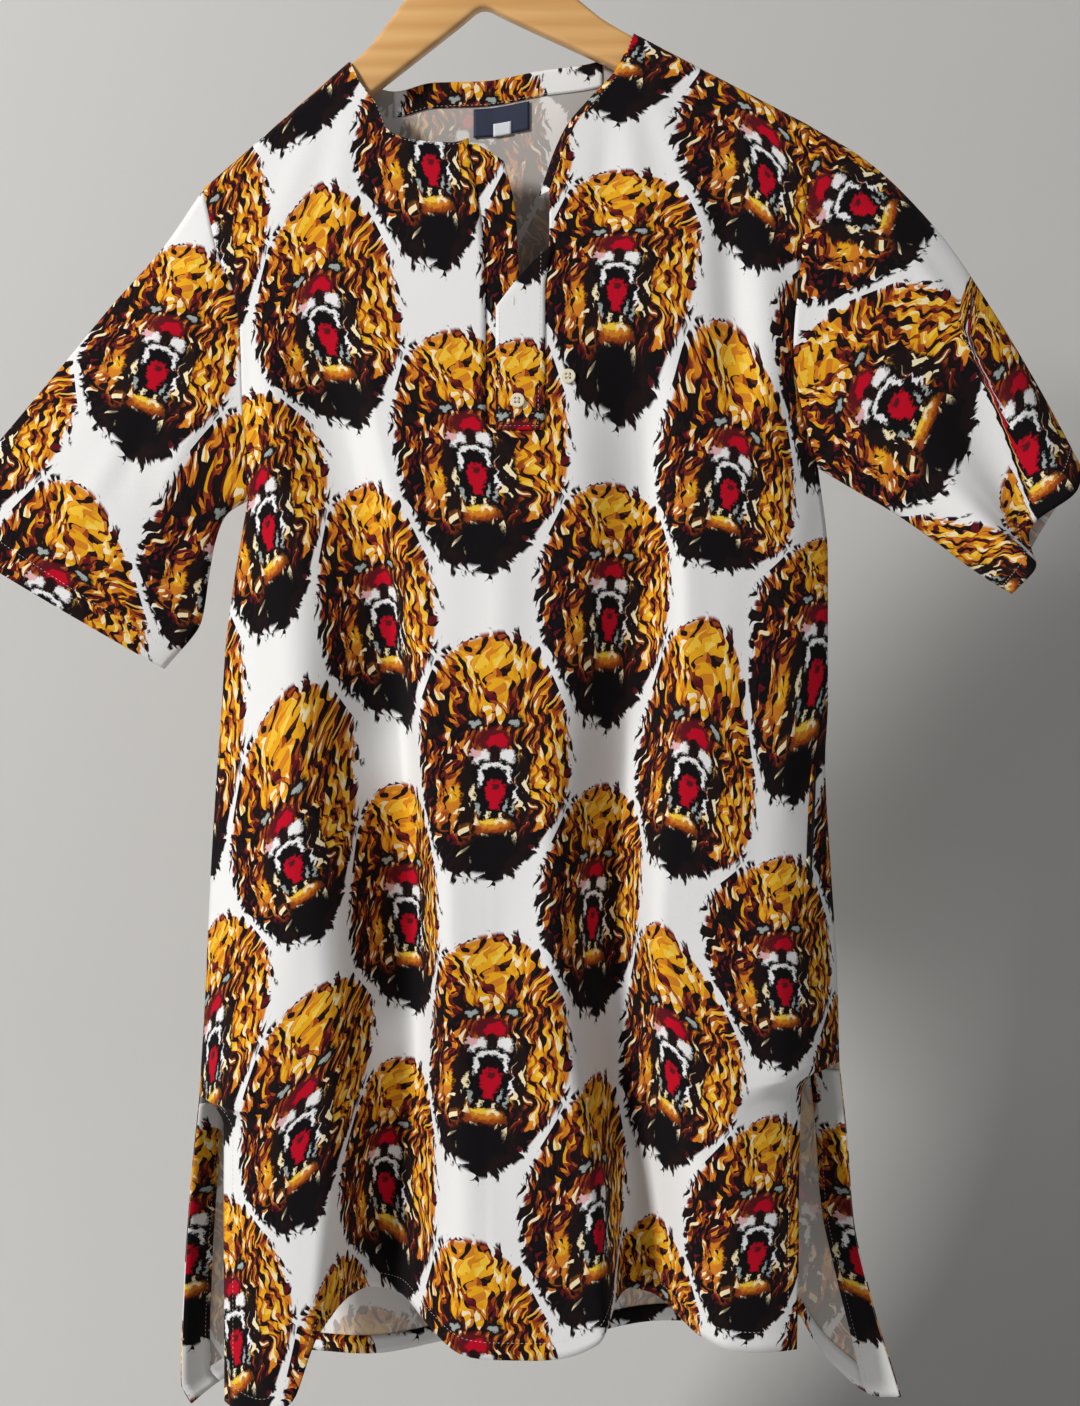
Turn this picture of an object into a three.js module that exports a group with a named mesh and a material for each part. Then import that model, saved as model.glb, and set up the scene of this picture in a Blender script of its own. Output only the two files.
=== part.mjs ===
// An isiagu shirt on a plain wooden hanger, in millimetres, +Z up.
// The origin is the underside of the hook's crown, where the rod carries it.
// The shirt's front faces -Y, and its tilt to one side comes from the hanger.
import * as THREE from "three";

const { lerp, degToRad, smoothstep, clamp } = THREE.MathUtils;

// Driving dimensions
const CLOTH = 1.2; // wall of the panels and sleeves
const STRIP = 1.0; // wall of the placket strips and facings
const GAP = 0.3; // between two pieces at a seam
const TILT = degToRad(6.7); // the hanger's turn on its rod, the wearer's right side down

const WOOD_THICK = 12;
const WOOD_EDGE = 3.5; // round of the wood's edges
const WOOD_BELOW_CLOTH = 2.5; // top of the arm under the middle of the cloth
const SHOULDER_SLOPE = degToRad(34.4);
const SHOULDER_START = { x: 100, z: -144.5 }; // a point of the shoulder seam, in the hanger's own frame
const SHOULDER_ROUND = 10; // the cloth's roll over the arm of the hanger
const SHOULDER_LEAN = 0.2; // how fast the cloth leaves the hanger below the roll
const SIDE_ROUND_POWER = 2.4; // how square a panel rounds off towards its side seams

const HOOK_WIRE = 4;
const HOOK_RADIUS = 22; // middle of the wire
const BUTTON = { across: 10, thick: 2, hole: 1.5, holes: 4, holeRing: 1.8, bevel: 0.4, seat: 0.5 };

// A short table: the words name its columns, and each row is one section.
function table(columns, rows) {
  const names = columns.split(" ");
  return rows.map((row) => Object.fromEntries(names.map((name, k) => [name, row[k]])));
}

// Adds a column f, the share of the way along the path of x and z, to a table's rows.
function measured(rows) {
  let run = 0;
  const runs = rows.map((row, k) => {
    if (k > 0) run += Math.hypot(row.x - rows[k - 1].x, row.z - rows[k - 1].z);
    return run;
  });
  return rows.map((row, k) => ({ ...row, f: runs[k] / run }));
}

// The value of one column where another column is `at`: a cubic through the rows whose slope
// at each row is the harmonic mean of its two neighbours', so that it never swings past them.
function read(rows, by, column, at) {
  const last = rows.length - 1;
  let k = 0;
  while (k < last - 1 && at > rows[k + 1][by]) k++;
  const chord = (m) => (rows[m + 1][column] - rows[m][column]) / (rows[m + 1][by] - rows[m][by]);
  const slope = (m) => {
    if (m === 0) return chord(0);
    if (m === last) return chord(last - 1);
    const before = chord(m - 1);
    const after = chord(m);
    return before * after <= 0 ? 0 : (2 * before * after) / (before + after);
  };
  const width = rows[k + 1][by] - rows[k][by];
  const t = clamp((at - rows[k][by]) / width, 0, 1);
  const rise = t * t * (3 - 2 * t);
  return (
    rows[k][column] * (1 - rise) +
    rows[k + 1][column] * rise +
    width * t * (1 - t) * ((1 - t) * slope(k) - t * slope(k + 1))
  );
}

// A point of the hanger's own frame, turned about the hook's crown.
const turned = (x, z) => ({
  x: x * Math.cos(TILT) - z * Math.sin(TILT),
  z: x * Math.sin(TILT) + z * Math.cos(TILT),
});

// The shoulder seams: where each starts at the neck and ends at the sleeve, across the hanger.
const SHOULDERS = table("side neck tip", [
  [-1, 97.4, 209.5],
  [1, 103.1, 217.5],
]);
const onSeam = (side, across) =>
  turned(
    side * across,
    SHOULDER_START.z - (across - SHOULDER_START.x) * Math.tan(SHOULDER_SLOPE),
  );
const [LEFT, RIGHT] = SHOULDERS.map((row) => ({
  side: row.side,
  neck: onSeam(row.side, row.neck),
  tip: onSeam(row.side, row.tip),
}));

// How far a point lies below a shoulder's seam line, square to it.
function belowSeam(shoulder, x, z) {
  const along = { x: shoulder.tip.x - shoulder.neck.x, z: shoulder.tip.z - shoulder.neck.z };
  const length = Math.hypot(along.x, along.z);
  const across = (x - shoulder.neck.x) * along.z - (z - shoulder.neck.z) * along.x;
  return Math.max(0, (shoulder.side * across) / length);
}

// Armholes, side seams and slit edges, as they hang, seen from the front.
const ARMHOLE_LEFT = measured(table("x z", [
  [LEFT.tip.x, LEFT.tip.z],
  [-171, -291],
  [-159, -321],
  [-155, -354],
  [-154, -394],
  [-151, -433],
  [-152, -461],
]));
const ARMHOLE_RIGHT = measured(table("x z", [
  [RIGHT.tip.x, RIGHT.tip.z],
  [238, -267],
  [234, -306],
  [230, -356],
  [237, -402],
  [249, -438],
]));
const SIDE_LEFT = measured(table("x z", [
  [-152, -461],
  [-164, -535],
  [-168, -570],
  [-170, -602],
  [-175, -673],
  [-179, -743],
  [-182, -813],
  [-186, -880],
]));
const SIDE_RIGHT = measured(table("x z", [
  [249, -438],
  [256, -503],
  [256, -602],
  [254, -644],
  [258, -722],
  [262, -785],
  [264, -856],
]));
const FRONT_SLIT_LEFT = measured(table("x z y", [
  [-186, -880, 0],
  [-174, -886, -8],
  [-166, -898, -16],
  [-164, -950, -28],
  [-162, -1020, -38],
  [-161, -1079, -42],
]));
const FRONT_SLIT_RIGHT = measured(table("x z y", [
  [264, -856, 0],
  [247, -861, -9],
  [235, -872, -18],
  [231, -930, -32],
  [229, -990, -44],
  [227, -1041, -50],
]));
const BACK_SLIT_LEFT = measured(table("x z y", [
  [-186, -880, 0],
  [-194, -945, 9],
  [-200, -1018, 15],
  [-203, -1090, 19],
  [-196, -1105, 20],
]));
const BACK_SLIT_RIGHT = measured(table("x z y", [
  [264, -856, 0],
  [271, -914, 7],
  [276, -972, 10],
  [289, -1024, 11],
  [302, -1067, 11],
  [310, -1097, 12],
]));

// Necklines, from the neck point at the shoulder seam to the middle.
const NECK_FRONT_LEFT = measured(table("x z", [
  [LEFT.neck.x, LEFT.neck.z],
  [-72, -171],
  [-61, -186],
  [-52, -206],
  [-32, -214],
  [-6, -216],
  [4, -213],
]));
const NECK_FRONT_RIGHT = measured(table("x z", [
  [RIGHT.neck.x, RIGHT.neck.z],
  [109, -163],
  [94, -183],
  [80, -200],
  [72, -216],
  [60, -250],
]));
const NECK_BACK = measured(table("x z", [
  [LEFT.neck.x, LEFT.neck.z],
  [-66, -165],
  [-51, -169],
  [-23, -162],
  [14, -160],
  [56, -153],
  [90, -149],
  [110, -142],
  [RIGHT.neck.x, RIGHT.neck.z],
]));

// The placket hole's two edges, read down from the neckline.
const PLACKET_LEFT = table("z x", [
  [213, 4],
  [313, 16],
  [412, 16],
]);
const PLACKET_RIGHT = table("z x", [
  [250, 60],
  [286, 60],
  [304, 56],
  [318, 54],
  [412, 54],
]);
const PLACKET_END = 412;

// Hems, seen from the front, across.
const HEM_FRONT = table("x z", [
  [-161, -1079],
  [-135, -1085],
  [-112, -1071],
  [-96, -1030],
  [-80, -1017],
  [-45, -1016],
  [-22, -1028],
  [6, -1042],
  [35, -1045],
  [67, -1043],
  [92, -1034],
  [106, -1017],
  [131, -1017],
  [163, -1033],
  [195, -1039],
  [227, -1041],
]);
const HEM_BACK = table("x z", [
  [-196, -1105],
  [-175, -1094],
  [-120, -1080],
  [-40, -1074],
  [60, -1066],
  [160, -1056],
  [215, -1049],
  [241, -1051],
  [256, -1075],
  [272, -1093],
  [294, -1105],
  [310, -1097],
]);

// The two recesses of the front: the line of the deepest point, its half widths each side, its depth.
const RECESS_LEFT = table("down x left right depth", [
  [500, -66, 40, 40, 0],
  [620, -60, 40, 42, 10],
  [740, -49, 42, 46, 26],
  [830, -52, 38, 54, 38],
  [926, -58, 34, 66, 52],
  [1085, -82, 26, 84, 72],
]);
const RECESS_RIGHT = table("down x left right depth", [
  [500, 99, 36, 36, 0],
  [620, 94, 36, 38, 10],
  [740, 89, 34, 42, 26],
  [830, 98, 30, 48, 38],
  [926, 110, 20, 56, 52],
  [1085, 117, 17, 72, 70],
]);

// How far the middle of each panel stands off the hanger's plane, going down, and how wide a side's round is.
const BODY = table("down front back round", [
  [150, 26, 22, 110],
  [450, 28, 26, 110],
  [600, 32, 28, 100],
  [830, 48, 36, 70],
  [1085, 66, 50, 46],
]);
const BACK_WAVE = table("down height", [
  [560, 0],
  [830, 4],
  [1085, 10],
]);
const BACK_WAVE_LONG = 132;
const ARMHOLE_OPEN = 16; // half the armhole's depth, front to back

// Rows down a panel: shares of the armhole, of the side seam, and of the slit's edge.
const steps = (from, to, count) =>
  Array.from({ length: count }, (_, k) => lerp(from, to, (k + 1) / count));
const ROLL_ROWS = [0, 0.006, 0.023, 0.046]; // thirty degrees of the shoulder's roll apart
const PLACKET_SHARE = 0.9; // of the armhole, level with the placket's end
const ROWS = [
  ...ROLL_ROWS.map((share) => ({ part: "armhole", share })),
  ...steps(ROLL_ROWS[3], PLACKET_SHARE, 8).map((share) => ({ part: "armhole", share })),
  { part: "armhole", share: 1 },
  ...steps(0, 1, 13).map((share) => ({ part: "side", share })),
  ...[0.07, 0.16, 0.32, 0.5, 0.68, 0.85, 1].map((share) => ({ part: "slit", share })),
];
const PLACKET_ROW = 11; // the last row beside the placket hole
const ARMPIT_ROW = 12;
const SLIT_ROW = 25;
const LAST_ROW = ROWS.length - 1;
const SLIT_CURL = 3; // how fast the slit edge's turning in dies away across the front
const TOP_FADE = 300; // how far down the shoulders' and neckline's outline shapes the rows
const HEM_FADE = table("row share", [
  [SLIT_ROW - 4, 0],
  [SLIT_ROW + 2, 0.3],
  [LAST_ROW, 1],
]);

const sideOf = (left) => (left ? LEFT : RIGHT);
function outerEdge(left, front, row) {
  const { part, share } = ROWS[row];
  const path = {
    armhole: left ? ARMHOLE_LEFT : ARMHOLE_RIGHT,
    side: left ? SIDE_LEFT : SIDE_RIGHT,
    slit: front
      ? left ? FRONT_SLIT_LEFT : FRONT_SLIT_RIGHT
      : left ? BACK_SLIT_LEFT : BACK_SLIT_RIGHT,
  }[part];
  return {
    x: read(path, "f", "x", share),
    z: read(path, "f", "z", share),
    depth: {
      armhole: ARMHOLE_OPEN * Math.sqrt(1 - share ** 3),
      side: 0,
      slit: part === "slit" ? Math.abs(read(path, "f", "y", share)) : 0,
    }[part],
  };
}

// The two half widths of a recess make one soft bell, steeper on its narrow side.
function recess(rows, x, z) {
  const middle = read(rows, "down", "x", -z);
  const half = read(rows, "down", x < middle ? "left" : "right", -z);
  const away = Math.abs(x - middle) / half;
  return away >= 1 ? 0 : read(rows, "down", "depth", -z) * 0.5 * (1 + Math.cos(Math.PI * away));
}

// How far a panel stands off the plane of the hanger at a point seen from the front: the roll over
// the shoulder, then the round from the side towards the middle, whichever is less, less the folds.
function standOff(front, row, x, z) {
  const leftEdge = outerEdge(true, front, row);
  const rightEdge = outerEdge(false, front, row);
  const nearLeft = x - leftEdge.x < rightEdge.x - x;
  const edge = nearLeft ? leftEdge : rightEdge;
  const inward = Math.max(0, nearLeft ? x - edge.x : edge.x - x);
  const middle = read(BODY, "down", front ? "front" : "back", -z);
  const round = read(BODY, "down", "round", -z);
  const side = edge.depth + (middle - edge.depth) * (1 - (1 - Math.min(1, inward / round)) ** SIDE_ROUND_POWER);
  const drop = belowSeam(sideOf(x < (LEFT.neck.x + RIGHT.neck.x) / 2), x, z);
  const roll =
    drop < SHOULDER_ROUND
      ? Math.sqrt(2 * SHOULDER_ROUND * drop - drop * drop)
      : SHOULDER_ROUND + SHOULDER_LEAN * (drop - SHOULDER_ROUND);
  const both = side > 0 && roll > 0 ? (side * roll) / Math.cbrt(side ** 3 + roll ** 3) : 0;
  if (front) return both - recess(RECESS_LEFT, x, z) - recess(RECESS_RIGHT, x, z);
  const wave = read(BACK_WAVE, "down", "height", -z) * Math.min(1, inward / round);
  return both + wave * Math.cos((2 * Math.PI * x) / BACK_WAVE_LONG);
}

// Columns of the front: shares along a half's top edge, shoulder seam first, then neckline.
const SHOULDER_CELLS = 10;
const NECK_CELLS = 9;
const NECK_CROWD = 1.6; // the neckline's cells lie closer together near the shoulder seam
const PLACKET_CELLS = 4;
const BACK_NECK_CELLS = 14;
const BACK_SHOULDER_CELLS = 8;
const frontHalf = SHOULDER_CELLS + NECK_CELLS;
const FRONT_COLUMNS = 2 * frontHalf + PLACKET_CELLS;
const BACK_COLUMNS = 2 * BACK_SHOULDER_CELLS + BACK_NECK_CELLS;

// A point of the front's top edge, counted in cells from the shoulder tip.
function frontTop(left, cell) {
  const shoulder = sideOf(left);
  if (cell <= SHOULDER_CELLS) {
    const share = cell / SHOULDER_CELLS;
    return {
      x: lerp(shoulder.tip.x, shoulder.neck.x, share),
      z: lerp(shoulder.tip.z, shoulder.neck.z, share),
    };
  }
  const path = left ? NECK_FRONT_LEFT : NECK_FRONT_RIGHT;
  const share = ((cell - SHOULDER_CELLS) / NECK_CELLS) ** NECK_CROWD;
  return { x: read(path, "f", "x", share), z: read(path, "f", "z", share) };
}

// How far down from the placket's end to the hem the middle rows are, at the armpit and at the slits' tops.
const MIDDLE_FALL = { armpit: 0.045, slit: 0.735 };

// The middle edges of the front's two halves: the placket hole's sides, then straight on down to the hem.
function innerEdge(left, row) {
  const path = left ? PLACKET_LEFT : PLACKET_RIGHT;
  const top = path[0].z;
  const { part, share } = ROWS[row];
  if (row <= PLACKET_ROW) {
    const down = lerp(top, PLACKET_END, share / PLACKET_SHARE);
    return { x: read(path, "z", "x", down), z: -down };
  }
  const hem = read(HEM_FRONT, "x", "z", path[2].x);
  const down = {
    armhole: MIDDLE_FALL.armpit,
    side: lerp(MIDDLE_FALL.armpit, MIDDLE_FALL.slit, share),
    slit: lerp(MIDDLE_FALL.slit, 1, share),
  }[part];
  return { x: path[path.length - 1].x, z: lerp(-PLACKET_END, hem, down) };
}

// The front seen from the front: between its outer and middle edges each row follows the shape of the
// shoulder and neckline near the top, and of the hem near the bottom.
function frontFlat(column, row) {
  const left = column <= frontHalf;
  const onRight = column >= frontHalf + PLACKET_CELLS;
  if (!left && !onRight) {
    const a = innerEdge(true, row);
    const b = innerEdge(false, row);
    const share = (column - frontHalf) / PLACKET_CELLS;
    return { x: lerp(a.x, b.x, share), z: lerp(a.z, b.z, share) };
  }
  const cell = left ? column : FRONT_COLUMNS - column;
  const outer = outerEdge(left, true, row);
  const inner = innerEdge(left, row);
  const outerTop = outerEdge(left, true, 0);
  const innerTop = innerEdge(left, 0);
  const top = frontTop(left, cell);
  const share = (top.x - outerTop.x) / (innerTop.x - outerTop.x);
  const fade = 1 - smoothstep(outerTop.z - outer.z, 0, TOP_FADE);
  const seamEnd = outerEdge(left, true, Math.min(row, SLIT_ROW));
  const x = lerp(seamEnd.x, inner.x, share) + (outer.x - seamEnd.x) * (1 - share) ** SLIT_CURL;
  const z = lerp(outer.z, inner.z, share) + fade * (top.z - lerp(outerTop.z, innerTop.z, share));
  const outerHem = outerEdge(left, true, LAST_ROW);
  const innerHem = innerEdge(left, LAST_ROW);
  const hem = read(HEM_FRONT, "x", "z", x) - lerp(outerHem.z, innerHem.z, share);
  return { x, z: z + hem * (row > HEM_FADE[0].row ? read(HEM_FADE, "row", "share", row) : 0) };
}

function frontPoint(column, row) {
  const { x, z } = frontFlat(column, row);
  return new THREE.Vector3(x, -standOff(true, row, x, z), z);
}

// A point of the back's top edge: shoulder seam, neckline, shoulder seam.
function backTop(column) {
  const fromRight = BACK_COLUMNS - column;
  if (column < BACK_SHOULDER_CELLS || fromRight < BACK_SHOULDER_CELLS) {
    const shoulder = sideOf(column < BACK_SHOULDER_CELLS);
    const share = Math.min(column, fromRight) / BACK_SHOULDER_CELLS;
    return {
      x: lerp(shoulder.tip.x, shoulder.neck.x, share),
      z: lerp(shoulder.tip.z, shoulder.neck.z, share),
    };
  }
  const share = 0.5 - 0.5 * Math.cos((Math.PI * (column - BACK_SHOULDER_CELLS)) / BACK_NECK_CELLS);
  return { x: read(NECK_BACK, "f", "x", share), z: read(NECK_BACK, "f", "z", share) };
}

function backPoint(column, row) {
  const a = outerEdge(true, false, row);
  const b = outerEdge(false, false, row);
  const aTop = outerEdge(true, false, 0);
  const bTop = outerEdge(false, false, 0);
  const top = backTop(column);
  const share = (top.x - aTop.x) / (bTop.x - aTop.x);
  const fade = 1 - smoothstep(aTop.z - a.z, 0, TOP_FADE);
  const x = lerp(a.x, b.x, share);
  const straight = lerp(a.z, b.z, share) + fade * (top.z - lerp(aTop.z, bTop.z, share));
  const hemShare = { armhole: 0, side: 0, slit: ROWS[row].share }[ROWS[row].part];
  const level = lerp(outerEdge(true, false, LAST_ROW).z, outerEdge(false, false, LAST_ROW).z, share);
  const z = straight + hemShare ** 1.5 * (read(HEM_BACK, "x", "z", x) - level);
  return new THREE.Vector3(x, standOff(false, row, x, z), z);
}

// Sleeves: the top fold and the underarm seam from the armhole to the cuff, and the depth of the tube.
const SLEEVE_LEFT = table("share topX topZ lowX lowZ open", [
  [0, LEFT.tip.x, LEFT.tip.z, -152, -461, 16],
  [0.2, -210, -282, -168, -472, 17],
  [0.4, -249, -326, -176, -493, 16],
  [0.6, -291, -377, -180, -516, 15],
  [0.8, -334, -428, -185, -546, 15],
  [1, -379, -480, -211, -580, 16],
]);
const SLEEVE_RIGHT = table("share topX topZ lowX lowZ open", [
  [0, RIGHT.tip.x, RIGHT.tip.z, 249, -438, 16],
  [0.2, 286, -225, 272, -452, 18],
  [0.4, 335, -274, 303, -470, 19],
  [0.6, 367, -320, 332, -490, 20],
  [0.8, 405, -383, 360, -511, 22],
  [1, 436, -441, 386, -527, 24],
]);
const SLEEVE_STEPS = 9;
const SLEEVE_TUBE = { from: 0.45, power: 0.75 }; // where the ring is a tube's, and how flat the tube is
const SLEEVE_VALLEY = { from: 0.35, at: 0.5, wide: 0.34, depth: 22, pull: 12, lift: 3.6 };
const SLEEVE_BULGE = { from: 0.4, at: 0.84, wide: 0.16, depth: 12 };

// A soft bump of height 1 round a middle, nothing past half the width.
const bump = (value, middle, wide) =>
  Math.abs(value - middle) >= wide ? 0 : 0.5 * (1 + Math.cos((Math.PI * (value - middle)) / wide));

// One ring of a sleeve runs down its front and up its back. At the armhole it is the armhole's own
// edge, and towards the cuff it becomes a flat tube; the right sleeve's front has one valley.
function sleevePoint(left, ring, around) {
  const onFront = around <= ARMPIT_ROW;
  const row = onFront ? around : 2 * ARMPIT_ROW - around;
  const side = onFront ? -1 : 1;
  const share = ring / SLEEVE_STEPS;
  const down = ROWS[row].share;
  const path = left ? SLEEVE_LEFT : SLEEVE_RIGHT;
  const at = (column) => read(path, "share", column, share);
  const edge = outerEdge(left, onFront, row);
  const seam = new THREE.Vector3(edge.x, side * standOff(onFront, row, edge.x, edge.z), edge.z);
  const first = path[0];
  const stray = (1 - share) ** 2;
  let x = lerp(at("topX"), at("lowX"), down) + stray * (seam.x - lerp(first.topX, first.lowX, down));
  let z = lerp(at("topZ"), at("lowZ"), down) + stray * (seam.z - lerp(first.topZ, first.lowZ, down));
  let y = side * at("open") * Math.sin(Math.PI * down) ** SLEEVE_TUBE.power;
  y = lerp(seam.y, y, smoothstep(share, 0, SLEEVE_TUBE.from));
  if (!left && onFront) {
    const valley =
      bump(down, SLEEVE_VALLEY.at, SLEEVE_VALLEY.wide) * smoothstep(share, SLEEVE_VALLEY.from, 1);
    const bulge = bump(down, SLEEVE_BULGE.at, SLEEVE_BULGE.wide) * smoothstep(share, SLEEVE_BULGE.from, 1);
    x -= SLEEVE_VALLEY.pull * valley;
    y += SLEEVE_VALLEY.depth * valley - SLEEVE_BULGE.depth * bulge;
    z += SLEEVE_VALLEY.lift * valley;
  }
  return new THREE.Vector3(x, y, z);
}

// Normals of a sheet's points: the sum of the faces round each.
function normalsOf(points, faces) {
  const normals = points.map(() => new THREE.Vector3());
  for (const face of faces) {
    const [a, b, c, d] = face.map((k) => points[k]);
    const across = new THREE.Vector3().subVectors(c, a).cross(new THREE.Vector3().subVectors(d, b));
    for (const k of face) normals[k].add(across);
  }
  return normals.map((normal) => normal.normalize());
}

// Gives a sheet of four-sided faces its wall, half to each side, and closes the rims.
function wallOf(points, faces, normals, thick) {
  const count = points.length;
  const position = [];
  for (const side of [0.5, -0.5])
    points.forEach((p, k) => {
      const q = p.clone().addScaledVector(normals[k], side * thick);
      position.push(q.x, q.y, q.z);
    });
  const index = [];
  const edges = new Map();
  const four = (a, b, c, d) => index.push(a, b, c, a, c, d);
  for (const [a, b, c, d] of faces) {
    four(a, b, c, d);
    four(d + count, c + count, b + count, a + count);
    for (const [from, to] of [[a, b], [b, c], [c, d], [d, a]]) {
      if (!edges.delete(to + "_" + from)) edges.set(from + "_" + to, [from, to]);
    }
  }
  for (const [from, to] of edges.values()) four(to, from, from + count, to + count);
  const used = new Map();
  const kept = [];
  const renumbered = index.map((k) => {
    if (!used.has(k)) {
      used.set(k, used.size);
      kept.push(position[3 * k], position[3 * k + 1], position[3 * k + 2]);
    }
    return used.get(k);
  });
  return new THREE.BufferGeometry()
    .setAttribute("position", new THREE.Float32BufferAttribute(kept, 3))
    .setIndex(renumbered);
}

// A grid of points as a sheet. `around` closes it to a tube, `turnedOver` turns its outside over,
// and `hole` says which cells are left out.
function sheet(columns, rows, pointAt, { around = false, turnedOver = false, hole = () => false } = {}) {
  const across = around ? columns : columns + 1;
  const points = [];
  for (let j = 0; j <= rows; j++) for (let i = 0; i < across; i++) points.push(pointAt(i, j));
  const faces = [];
  for (let j = 0; j < rows; j++)
    for (let i = 0; i < columns; i++) {
      if (hole(i, j)) continue;
      const next = (i + 1) % across;
      const face = [j * across + i, (j + 1) * across + i, (j + 1) * across + next, j * across + next];
      faces.push(turnedOver ? face.reverse() : face);
    }
  return { points, faces, across, rows, normals: normalsOf(points, faces) };
}

// Moves a seam's points back from it, so that the wall's nearer corner stops half the gap short.
function backOff(panel, k, away, thick) {
  const reach = GAP / 2 + (thick / 2) * Math.abs(panel.normals[k].dot(away));
  panel.points[k].addScaledVector(away, reach);
}

const inPlaceY = (side) => new THREE.Vector3(0, side, 0);

// The way from an armhole into its panel, square to the armhole's line, seen from the front.
function intoPanel(left, row) {
  const before = outerEdge(left, true, Math.max(0, row - 1));
  const after = outerEdge(left, true, Math.min(ARMPIT_ROW, row + 1));
  const side = left ? 1 : -1;
  return new THREE.Vector3(-side * (after.z - before.z), 0, side * (after.x - before.x)).normalize();
}

function seamPanel(panel, front, neckFrom, neckTo) {
  const last = panel.across - 1;
  const yAway = inPlaceY(front ? -1 : 1);
  for (let j = 0; j <= SLIT_ROW; j++)
    for (const left of [true, false]) {
      const k = j * panel.across + (left ? 0 : last);
      if (j <= ARMPIT_ROW) backOff(panel, k, intoPanel(left, j), CLOTH);
      if (j === 0 || j >= ARMPIT_ROW) backOff(panel, k, yAway, CLOTH);
    }
  for (let i = 1; i < last; i++) if (i <= neckFrom || i >= neckTo) backOff(panel, i, yAway, CLOTH);
}

const addPiece = (name, colour, geometry, place = new THREE.Group()) => {
  const mesh = new THREE.Mesh(
    geometry,
    new THREE.MeshStandardMaterial({ color: colour, roughness: 0.85, metalness: 0 }),
  );
  mesh.name = name;
  place.add(mesh);
  return mesh;
};

const PRINT = "#b5762f";
const GROUND = "#eceae8";
const NAVY = "#141a33";
const shirt = new THREE.Group();

// Front panel
const front = sheet(FRONT_COLUMNS, LAST_ROW, frontPoint, {
  hole: (i, j) => j < PLACKET_ROW && i >= frontHalf && i < frontHalf + PLACKET_CELLS,
});
const frontPoints = front.points.map((p) => p.clone());
seamPanel(front, true, SHOULDER_CELLS, FRONT_COLUMNS - SHOULDER_CELLS);
addPiece("front_panel", PRINT, wallOf(front.points, front.faces, front.normals, CLOTH), shirt);

// Back panel
const back = sheet(BACK_COLUMNS, LAST_ROW, backPoint, { turnedOver: true });
const backPoints = back.points.map((p) => p.clone());
seamPanel(back, false, BACK_SHOULDER_CELLS, BACK_COLUMNS - BACK_SHOULDER_CELLS);
addPiece("back_panel", PRINT, wallOf(back.points, back.faces, back.normals, CLOTH), shirt);

// Sleeves: the ring at the armhole keeps the seam's gap to both panels
for (const left of [true, false]) {
  const sleeve = sheet(2 * ARMPIT_ROW, SLEEVE_STEPS, (i, j) => sleevePoint(left, j, i), {
    around: true,
    turnedOver: left,
  });
  for (let i = 0; i < 2 * ARMPIT_ROW; i++) {
    const row = i <= ARMPIT_ROW ? i : 2 * ARMPIT_ROW - i;
    backOff(sleeve, i, intoPanel(left, row).negate(), CLOTH);
  }
  const name = left ? "sleeve_left" : "sleeve_right";
  addPiece(name, PRINT, wallOf(sleeve.points, sleeve.faces, sleeve.normals, CLOTH), shirt);
}

// A point of a panel between its rows and columns, moved out along its normal.
function onPanel(points, normals, across, column, row, out) {
  const i = clamp(Math.floor(column), 0, across - 2);
  const j = clamp(Math.floor(row), 0, LAST_ROW - 1);
  const mix = (list) => {
    const upper = list[j * across + i].clone().lerp(list[j * across + i + 1], column - i);
    const lower = list[(j + 1) * across + i].clone().lerp(list[(j + 1) * across + i + 1], column - i);
    return upper.lerp(lower, row - j);
  };
  return mix(points).addScaledVector(mix(normals).normalize(), out);
}

// Normals of the front as if its placket hole were filled, for what lies in and beside the hole.
const wholeFront = sheet(FRONT_COLUMNS, LAST_ROW, frontPoint);
const onFront = (column, row, out) =>
  onPanel(frontPoints, wholeFront.normals, FRONT_COLUMNS + 1, column, row, out);
const onBack = (column, row, out) =>
  onPanel(backPoints, back.normals, BACK_COLUMNS + 1, column, row, out);

// The row at which a column of the front is at a height.
function frontRowAt(column, z) {
  let row = 0;
  while (row < LAST_ROW - 1 && onFront(column, row + 1, 0).z > z) row++;
  const upper = onFront(column, row, 0).z;
  const lower = onFront(column, row + 1, 0).z;
  return row + (z - upper) / (lower - upper);
}

// Columns of the front counted from the placket hole's edges in millimetres, as the cells there lie.
const placketColumn = (x) =>
  frontHalf + (PLACKET_CELLS * (x - PLACKET_LEFT[2].x)) / (PLACKET_RIGHT[4].x - PLACKET_LEFT[2].x);

// The column of the front, from the placket hole rightwards, that is at a distance across at a height.
function frontColumnAt(x, z) {
  const xAt = (column) => onFront(column, frontRowAt(column, z), 0).x;
  let column = frontHalf;
  while (column < FRONT_COLUMNS - 1 && xAt(column + 1) < x) column++;
  return column + (x - xAt(column)) / (xAt(column + 1) - xAt(column));
}

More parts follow.
